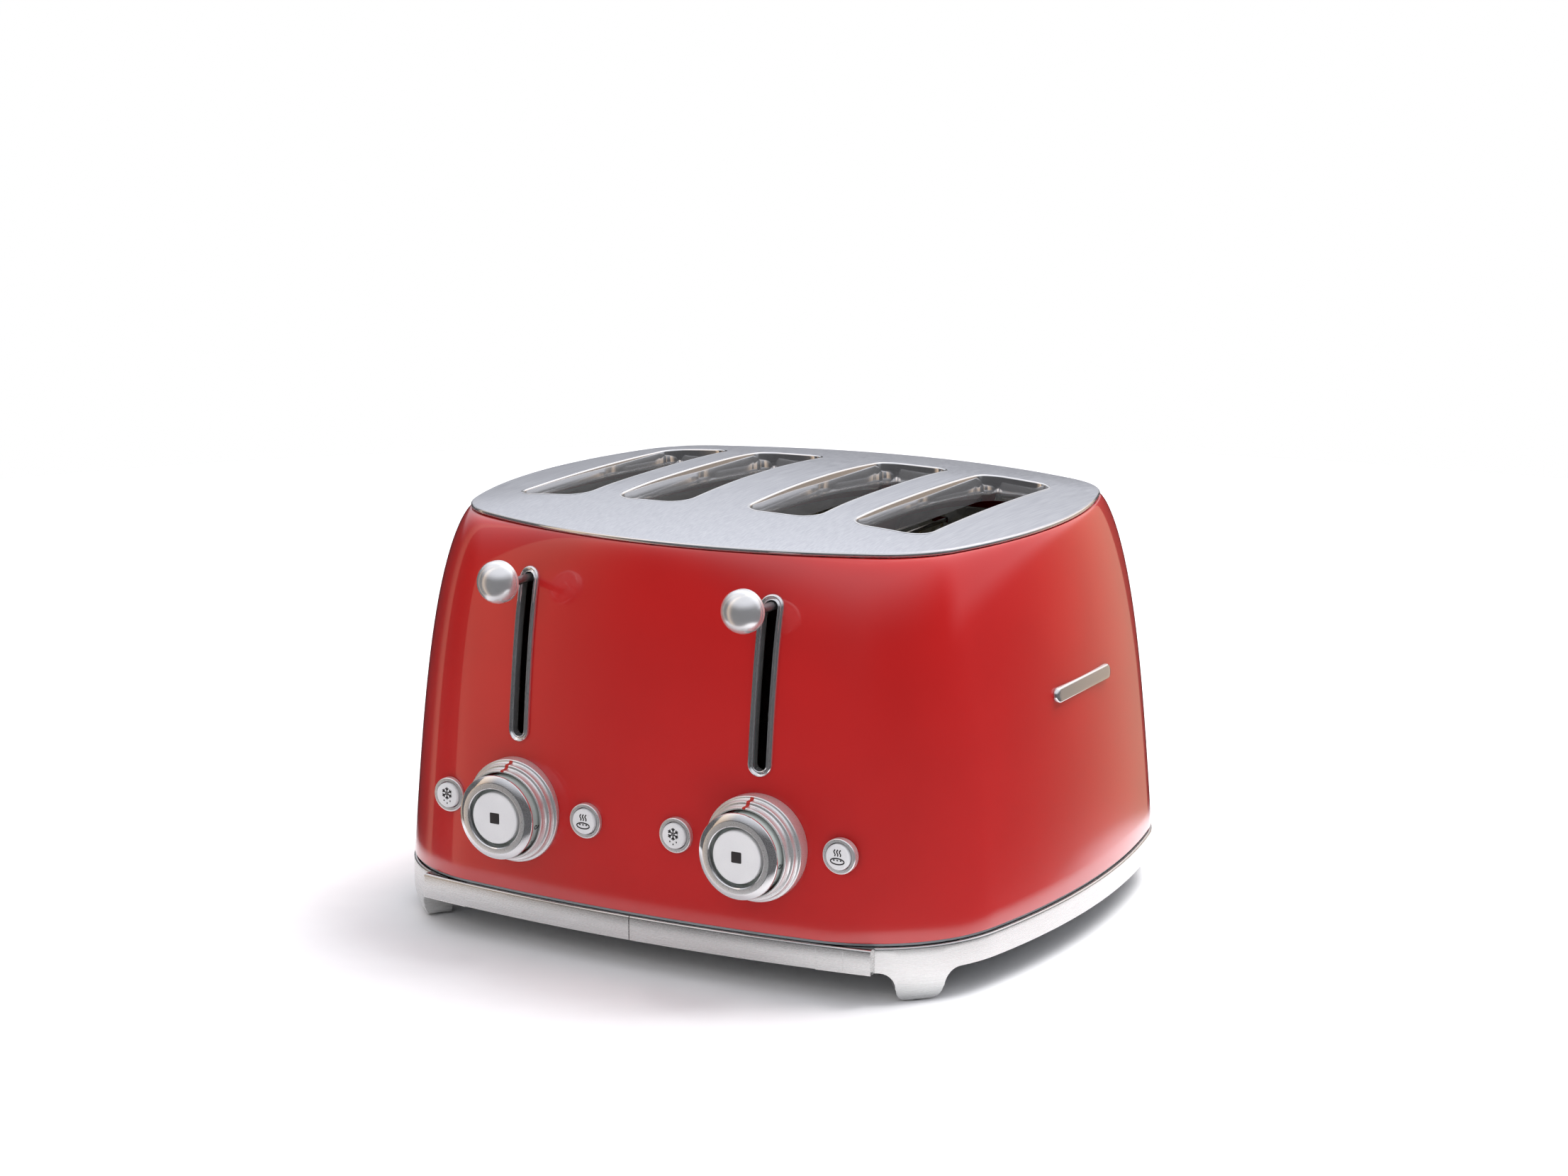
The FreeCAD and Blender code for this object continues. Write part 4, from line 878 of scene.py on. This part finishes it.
def dial_bezels():
    """Turned trim rings round the dials: a flange on the shell, a tier and a collar."""
    rows = [(BEZEL_BORE, None), (BEZEL_RADIUS, None)] + BEZEL_STEPS + [(BEZEL_BORE, None)]
    skin = [pair for pair in BEZEL_STEPS if pair[1] > 151.0]
    over = [(radius + 0.08, reach + 0.08) for radius, reach in skin]
    under = [(radius - 0.1, reach - 0.1) for radius, reach in skin[::-1]]
    turns = [radians(a) for a in (-2.2, -1.1, 0, 1.1, 2.2)]
    for side, sign in SIDES:
        place = ring_place(sign * DIAL_X, DIAL_Z)
        ring = swept(f"dial_bezel_ring_{side}", ANGLES, rows, place, 40.0)
        finished(ring, SATIN, "housing", "bright_chrome", f"dial_bezel_{side}")
        stripe = swept(f"dial_pointer_{side}", turns, over + under + over[:1], place, 40.0)
        finished(stripe, RED_INK, "housing", "bright_chrome")


def sleeve_mark(sign, shape, angle):
    """Wrap a flat mark round the sleeve, its top towards the body."""
    for corner in shape.data.vertices:
        across, up, out = corner.co / MM
        turn = angle - across / SLEEVE_RADIUS
        radius = SLEEVE_RADIUS + INK_LIFT * (1 if out > 0 else -1)
        x, z = sign * DIAL_X + radius * sin(turn), DIAL_Z + radius * cos(turn)
        corner.co = at(x, up - NUMERAL_REACH, z)
    return shape


def numeral(text):
    """A printed numeral as a thin flat mesh, centred."""
    alone()
    bpy.ops.object.text_add()
    made = bpy.context.object
    font = made.data
    font.body, font.size = text, NUMERAL_HEIGHT * 1.4 * MM
    font.align_x = font.align_y = "CENTER"
    font.extrude, font.resolution_u = 0.02 * MM, 4
    bpy.ops.object.convert(target="MESH")
    picked(made)
    bpy.ops.object.transform_apply(location=True, rotation=True, scale=True)
    return made


def dot():
    """A printed dot for the half steps between the numerals."""
    alone()
    bpy.ops.mesh.primitive_cylinder_add(radius=0.42 * MM, depth=0.04 * MM, vertices=16)
    return bpy.context.object


def dial_sleeve(side, sign):
    """Numbered sleeve with its shaft to the board."""
    front, soft = CAP_BACK - 0.1, 0.4
    sleeve = [(SHAFT_BORE, SLEEVE_BACK), (SLEEVE_RADIUS - soft, SLEEVE_BACK)]
    sleeve += [(SLEEVE_RADIUS, SLEEVE_BACK + soft), (SLEEVE_RADIUS, front), (CAP_BORE, front)]
    sleeve += [(CAP_BORE, CAP_FLOOR + 0.1), (CAP_BORE - soft, CAP_FLOOR), (SHAFT_BORE, CAP_FLOOR), sleeve[0]]
    back, seat = SHIFT - box_mm(f"dial_skirt_{side}")[1].y, SLEEVE_BACK + 0.1
    shaft = [(SHAFT_BORE, seat), (SHAFT_RADIUS, seat), (SHAFT_RADIUS, back + soft)]
    shaft += [(SHAFT_RADIUS - soft, back), (SHAFT_BORE, back), shaft[0]]
    for name, profile, steps in (("sleeve", sleeve, 96), ("shaft", shaft, 40)):
        piece = turned(f"dial_{name}_{side}", profile, (sign * DIAL_X, DIAL_Z), steps)
        finished(piece, SLEEVE, f"dial_{side}", "dial_sleeve", f"dial_skirt_{side}")

    marks = []
    for count in range(6):
        marks.append(sleeve_mark(sign, numeral(str(count + 1)), radians(350 - 50 * count)))
        if count < 5:
            marks.append(sleeve_mark(sign, dot(), radians(325 - 50 * count)))
    finished(joined(f"dial_numerals_{side}", marks), DARK_INK, f"dial_{side}", "dial_sleeve")


def dial_grip(side, sign):
    """Polished grip ring with a satin front."""
    profile = [(CAP_BORE, CAP_BACK), (CAP_RADIUS - 0.5, CAP_BACK), (CAP_RADIUS, CAP_BACK + 0.4)]
    profile += [(CAP_RADIUS, CAP_BACK + 1.0)]
    profile += rounding((CAP_RADIUS - 0.7, CAP_BACK + 1.05), 0.7, 10, 60, 4)
    profile += [(17.3, CAP_FRONT - 0.12), (16.9, CAP_FRONT), (14.5, CAP_FRONT)]
    profile += [(CAP_BORE, CAP_FRONT - 0.35), (CAP_BORE, CAP_BACK)]
    grip = turned(f"dial_grip_{side}", profile, (sign * DIAL_X, DIAL_Z), steps=128)
    two_finishes(grip, CHROME, SATIN, lambda face: face.y < (SHIFT - CAP_FRONT + 0.02) * MM)
    finished(grip, None, f"dial_{side}", "bright_chrome", f"dial_cap_{side}")


def stop_button(side, sign):
    """Stop disc in the middle of a dial, its plunger and its printed square."""
    soft = 0.9
    disc = [(0.0, STOP_BACK), (STOP_RADIUS, STOP_BACK), (STOP_RADIUS, STOP_FRONT - soft)]
    disc += rounding((STOP_RADIUS - soft, STOP_FRONT - soft), soft, 0, 90, 5)
    disc += [(9.0, STOP_FRONT - 0.1), (0.0, STOP_FRONT - 0.15)]
    back, seat = SHIFT - box_mm(f"stop_button_{side}")[1].y, STOP_BACK - 0.1
    plunger = [(0, seat), (PLUNGER_RADIUS, seat), (PLUNGER_RADIUS, back + 0.3)]
    plunger += [(PLUNGER_RADIUS - 0.3, back), (0, back)]
    for name, profile, steps in (("disc", disc, 96), ("plunger", plunger, 24)):
        piece = turned(f"stop_{name}_{side}", profile, (sign * DIAL_X, DIAL_Z), steps)
        finished(piece, BUTTON, f"stop_{side}", "satin_button", f"stop_button_{side}")

    rim = soft_rectangle(2.6, 2.6, 0.5, 4)
    rows = [(0.0, -0.3), (1.0, -0.3), (1.0, 0.03), (0.97, INK_LIFT), (0.0, INK_LIFT)]

    def place(column, row):
        x, z = column
        return sign * DIAL_X + x * row[0], -(STOP_FRONT - 0.12 + row[1]), DIAL_Z + z * row[0]

    square = swept(f"stop_symbol_{side}", rim + rim[:1], rows, place)
    finished(square, DARK_INK, f"stop_{side}", "satin_button")


# ---- push buttons

RING_PROUD, RING_RADIUS = 2.4, 8.3
BUTTON_PROUD, BUTTON_RADIUS, BUTTON_SINK = 3.6, 6.1, 2.0
SIGN_SCALE, SIGN_WIDTH = 1.15, 0.6


def ink_line(points, spot, reach):
    """A printed line on a button's face, as a thin raised ribbon."""
    points, half = [(SIGN_SCALE * x, SIGN_SCALE * z) for x, z in points], SIGN_WIDTH / 2
    rims = []
    for number, (x, z) in enumerate(points):
        before, after = points[max(number - 1, 0)], points[min(number + 1, len(points) - 1)]
        run_x, run_z = after[0] - before[0], after[1] - before[1]
        long = hypot(run_x, run_z)
        rims.append((x, z, -run_z / long * half, run_x / long * half))
    section = [(-1, -0.15), (-1, INK_LIFT), (1, INK_LIFT), (1, -0.15), (-1, -0.15)]

    def place(column, row):
        x, z, out_x, out_z = column
        return spot[0] + x + out_x * row[0], -(reach + row[1]), spot[1] + z + out_z * row[0]

    return swept("ink_line", rims, section, place)


def snow_lines():
    """Six-armed snow crystal over three drops, for thawing."""
    def ray(start, angle, length):
        x, z = start
        return [start, (x + length * cos(angle), z + length * sin(angle))]

    lines = []
    for arm in range(6):
        angle = radians(30 + 60 * arm)
        inner, fork = [ray((0, 0.9), angle, length)[1] for length in (0.2, 1.5)]
        lines.append(ray(inner, angle, 2.4))
        lines += [ray(fork, angle + radians(turn), 1.0) for turn in (-50, 50)]
    lines += [[(x, z - 0.3), (x, z + 0.35)] for x, z in ((-1.5, -2.3), (0.0, -3.3), (1.5, -2.3))]
    return lines


def warm_lines():
    """Three waves of warm air over a bun, for reheating."""
    bun = [(3.0 * x, 1.2 * z - 1.6) for x, z in rounding((0, 0), 1, 0, 360, 18)]
    waves = [[(x + 0.3 * sin(1.05 * k), 0.5 + 0.38 * k) for k in range(8)] for x in (-1.2, 0.0, 1.2)]
    seeds = [[(x - 0.35, -1.2), (x + 0.35, -1.2)] for x in (-1.5, 0.0, 1.5)]
    return waves + [bun] + seeds


def push_buttons():
    """Fixed rings and the four moving caps, each with its printed sign."""
    kinds = (("defrost", -BUTTON_SPREAD, snow_lines()), ("warm", BUTTON_SPREAD, warm_lines()))
    for side, sign in SIDES:
        for kind, spread, lines in kinds:
            x = sign * DIAL_X + spread
            face = front_face(x, BUTTON_Z)
            front, top = face + RING_PROUD, face + BUTTON_PROUD
            rows = [(BUTTON_HOLE, None), (RING_RADIUS, None), (RING_RADIUS, front - 0.7)]
            rows += rounding((RING_RADIUS - 0.6, front - 0.6), 0.6, 0, 90, 4)
            rows += [(7.2, front), (7.0, front - 0.25), (6.75, front - 0.25), (BUTTON_HOLE, front - 0.5)]
            rows.append(rows[0])
            ring = swept(f"{kind}_ring_{side}", ANGLES[::2], rows, ring_place(x, BUTTON_Z))
            finished(ring, SATIN, "housing", "bright_chrome", "button_rings")

            back, sunk = SHIFT - box_mm(f"{kind}_button_{side}")[1].y, face - BUTTON_SINK
            profile = [(0.0, back), (PLUNGER_RADIUS - 0.3, back), (PLUNGER_RADIUS, back + 0.3)]
            profile += [(PLUNGER_RADIUS, sunk), (BUTTON_RADIUS, sunk), (BUTTON_RADIUS, top - 1.0)]
            profile += rounding((BUTTON_RADIUS - 1.0, top - 1.0), 1.0, 0, 90, 6)
            profile += [(2.5, top - 0.03), (0.0, top - 0.05)]
            cap = turned(f"{kind}_cap_{side}", profile, (x, BUTTON_Z), steps=64)
            finished(cap, BUTTON, f"{kind}_{side}", "satin_button", f"{kind}_button_{side}")

            ink = [ink_line(line, (x, BUTTON_Z), top - 0.02) for line in lines]
            finished(joined(f"{kind}_sign_{side}", ink), DARK_INK, f"{kind}_{side}", "satin_button")


# ---- side bar, cord inlet, springs

def side_bar():
    """Plain polished bar with round ends on the right side."""
    half, end, proud = 31.0, 3.5, 2.2
    low, high = box_mm("side_trim")
    z_middle = (low.z + high.z) / 2
    rim = [(*pair, 1) for pair in rounding((0, 0), 1, -90, 90, 14)]
    rim += [(*pair, -1) for pair in rounding((0, 0), 1, 90, 270, 14)]
    section = [(0.0, 0.1), (1.0, 0.1), (1.0, proud - 0.7), (0.93, proud - 0.3), (0.8, proud - 0.05)]
    section += [(0.4, proud), (0.0, proud)]

    def place(column, row):
        along, up, way = column
        y = way * (half - end) + along * end * row[0]
        z = z_middle + up * end * row[0]
        return side_face(y, z) + row[1], y, z

    bar = swept("side_bar", rim + rim[:1], section, place)
    finished(bar, CHROME, "housing", "bright_chrome", "side_trim")


def cord_inlet():
    """Moulded gland in the back, with grip ridges round its nose."""
    low, high = box_mm("cord_gland")
    back, front = SHIFT - high.y, SHIFT - low.y
    z = (low.z + high.z) / 2
    radius, bore, neck, soft = (high.x - low.x) / 2, 3.6, 5.9, 0.4
    seat = -front_face(0, z)
    profile = [(bore, back + soft), (bore + soft, back)]
    profile += rounding((radius - 2.6, back + 1.2), 1.2, 270, 350, 4)
    groove, crest = radius - 1.4, radius - 0.8
    for ridge in range(3):
        start = back + 1.8 + 1.4 * ridge
        profile += [(groove, start), (crest, start + 0.25), (crest, start + 0.75), (groove, start + 1.0)]
    profile += [(radius - 0.3, seat - 0.9), (radius, seat - 0.5), (radius, seat - 0.1), (neck, seat - 0.1)]
    profile += [(neck, front - soft), (neck - soft, front), (bore, front), (bore, back + soft)]
    gland = turned("cord_inlet", profile, (0, z), steps=64)
    finished(gland, BLACK, "housing", "black_moulding", "cord_gland")


def return_springs():
    """Close-wound springs that pull the carriages up."""
    wire, turns, per_turn = 0.4, 26, 14
    count = turns * per_turn
    section = [2 * pi * n / 8 for n in range(9)]
    for side, _ in SIDES:
        low, high = box_mm(f"return_spring_{side}")
        radius = (high.x - low.x) / 2 - wire
        x, y = (low.x + high.x) / 2, (low.y + high.y) / 2 - SHIFT
        base, top = low.z + wire, high.z - wire

        def place(step, around):
            angle = 2 * pi * step / per_turn
            out = radius + wire * cos(around)
            height = base + (top - base) * step / count + wire * sin(around)
            return x + out * cos(angle), y + out * sin(angle), height

        coil = swept(f"return_coil_{side}", range(count + 1), section, place, 60.0)
        coil.data.materials.append(SPRING)
        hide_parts(f"return_spring_{side}")
        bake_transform(coil)


enamelled_shell()
domed_plate()
slot_collars()
footed_band()
tray_fronts()
lever_bezels()
lever_knobs()
dial_bezels()
for dial in SIDES:
    dial_sleeve(*dial)
    dial_grip(*dial)
    stop_button(*dial)
push_buttons()
side_bar()
cord_inlet()
return_springs()


# ---- finishes of the carried-over parts

def dress(material, *nodes):
    """Put one finish on parts whose shape is right as it is."""
    for word in nodes:
        coat(bpy.data.objects[word], material)


def both(*words):
    return [f"{word}_{side}" for word in words for side, _ in SIDES]


dress(SEAM, "seam_ring")
dress(ZINC, "base_floor", "base_frame", "front_bulkhead", "rear_bulkhead", "heat_shields", "rod_brackets")
dress(ZINC, "board_supports", "magnet_cores", *both("carriage", "crumb_tray", "latch_keeper"))
dress(CHROME, "floor_screws")
dress(WIRE, "guide_rods", *both("bread_guides_inner", "bread_guides_outer", "bread_racks"))
dress(MICA, "heater_boards")
dress(RIBBON, "heating_ribbons")
dress(COPPER, "magnet_coils")
dress(BOARD, "control_boards", "power_board")
dress(BLACK, "potentiometers", "board_switches", "board_spacers", "power_parts", "terminal_block")
dress(RUBBER, "foot_pads")


# ---- floor and studio light

def rise(owner, value, low, high, start=0.0, end=1.0):
    """A smooth change from start to end while a value goes from low to high."""
    smooth = {"interpolation_type": "SMOOTHSTEP"}
    return add(owner, "MapRange", smooth, i0=value, i1=low, i2=high, i3=start, i4=end).outputs["Result"]


def sums(owner, operation, first, *others):
    """A value worked out step by step from several."""
    for other in others:
        first = add(owner, "Math", {"operation": operation}, i0=first, i1=other).outputs["Value"]
    return first


def vectors(owner, operation, *values):
    """A vector worked out from one or two others."""
    inputs = {f"i{number}": value for number, value in enumerate(values)}
    return add(owner, "VectorMath", {"operation": operation}, **inputs).outputs["Vector"]


def pale_floor():
    """A round of matt white card; only its part near the toaster shows in reflections."""
    alone()
    bpy.ops.mesh.primitive_circle_add(vertices=96, radius=1.35, fill_type="NGON", location=(0, 0, -0.0002))
    floor = bpy.context.object
    floor.name = "floor"
    material = surface("white_card", "#f6f6f7", 0.8, Specular_IOR_Level=0.1)
    shades(material, spots(material, 30), "#f5f5f6", "#f7f7f8")
    across = vectors(material, "ABSOLUTE", on_piece(material))
    out = vectors(material, "MAXIMUM", vectors(material, "SUBTRACT", across, (0.15, 0.135, 0)), (0, 0, 0))
    reach = add(material, "VectorMath", {"operation": "LENGTH"}, i0=out).outputs["Value"]
    near = rise(material, reach, 0.06, 0.13, 1.0, 0.0)
    seen = add(material, "LightPath").outputs["Is Glossy Ray"]
    shown = sums(material, "MAXIMUM", sums(material, "SUBTRACT", 1.0, seen), near)
    clear = add(material, "BsdfTransparent").outputs[0]
    card = add(material, "MixShader", i0=shown, i1=clear, i2=shader(material).outputs[0])
    output = material.node_tree.nodes["Material Output"]
    material.node_tree.links.new(card.outputs[0], output.inputs["Surface"])
    coat(floor, material)


def lamp(name, place, wide, tall, power):
    """A rectangular area light turned to the body's middle, which no mirror shows."""
    middle = Vector((0, 0, 0.1))
    alone()
    bpy.ops.object.light_add(type="AREA", location=place)
    made = bpy.context.object
    made.name = name
    made.data.shape = "RECTANGLE"
    made.data.size, made.data.size_y = wide, tall
    made.data.energy = power
    made.visible_camera = made.visible_glossy = False
    made.rotation_euler = (Vector(place) - middle).to_track_quat("Z", "Y").to_euler()


def glow(world, strength, colour):
    """Light of one colour, as strong as a value."""
    made = add(world, "VectorMath", {"operation": "SCALE"}, i0=linear(colour)[:3], Scale=strength)
    return made.outputs["Vector"]


def studio():
    """White surround to the eye; to the surfaces a dark room with soft panels.

    A turn is an angle in radians from the toaster's right side round by its back."""
    world = bpy.data.worlds.new("studio")
    bpy.context.scene.world = world
    world.use_nodes = True
    world.node_tree.nodes.clear()
    where = add(world, "TexCoord").outputs["Generated"]
    ways = add(world, "SeparateXYZ", Vector=where).outputs
    turn = add(world, "Math", {"operation": "ARCTAN2"}, i0=ways["Y"], i1=ways["X"]).outputs["Value"]

    def panel(strength, *parts):
        return sums(world, "MULTIPLY", *parts, strength)

    right = panel(0.55, rise(world, turn, 0.6, 1.5), rise(world, turn, 1.585, 1.6, 1.0, 0.0))
    left = panel(0.75, rise(world, turn, -2.66, -2.64), rise(world, turn, -2.6, -2.1, 1.0, 0.0))
    far = panel(0.5, rise(world, turn, 2.9, 3.1))
    above = panel(1.0, rise(world, ways["Z"], 0.22, 0.8))
    back = panel(0.75, rise(world, ways["Z"], 0.08, 0.2), rise(world, ways["Y"], 0.1, 0.6))

    warm = glow(world, sums(world, "ADD", right, left, far), "#ffe0c0")
    cool = glow(world, sums(world, "ADD", above, back), "#eceef5")
    room = vectors(world, "ADD", vectors(world, "ADD", warm, cool), (0.03, 0.03, 0.033))
    lit = add(world, "Background", Color=room)
    seen = add(world, "Background", Color=(1, 1, 1, 1))
    path = add(world, "LightPath").outputs["Is Camera Ray"]
    mix = add(world, "MixShader", i0=path, i1=lit.outputs[0], i2=seen.outputs[0])
    add(world, "OutputWorld", Surface=mix.outputs[0])

    lamp("overhead", (0.55, 0.8, 1.8), 1.3, 1.2, 46)
    lamp("front_fill", (0.2, -1.9, 0.9), 1.6, 1.2, 9)
    lamp("right_fill", (1.9, -0.6, 0.8), 1.2, 1.2, 0.5)
    bpy.context.scene.view_settings.view_transform = "Standard"


pale_floor()
studio()
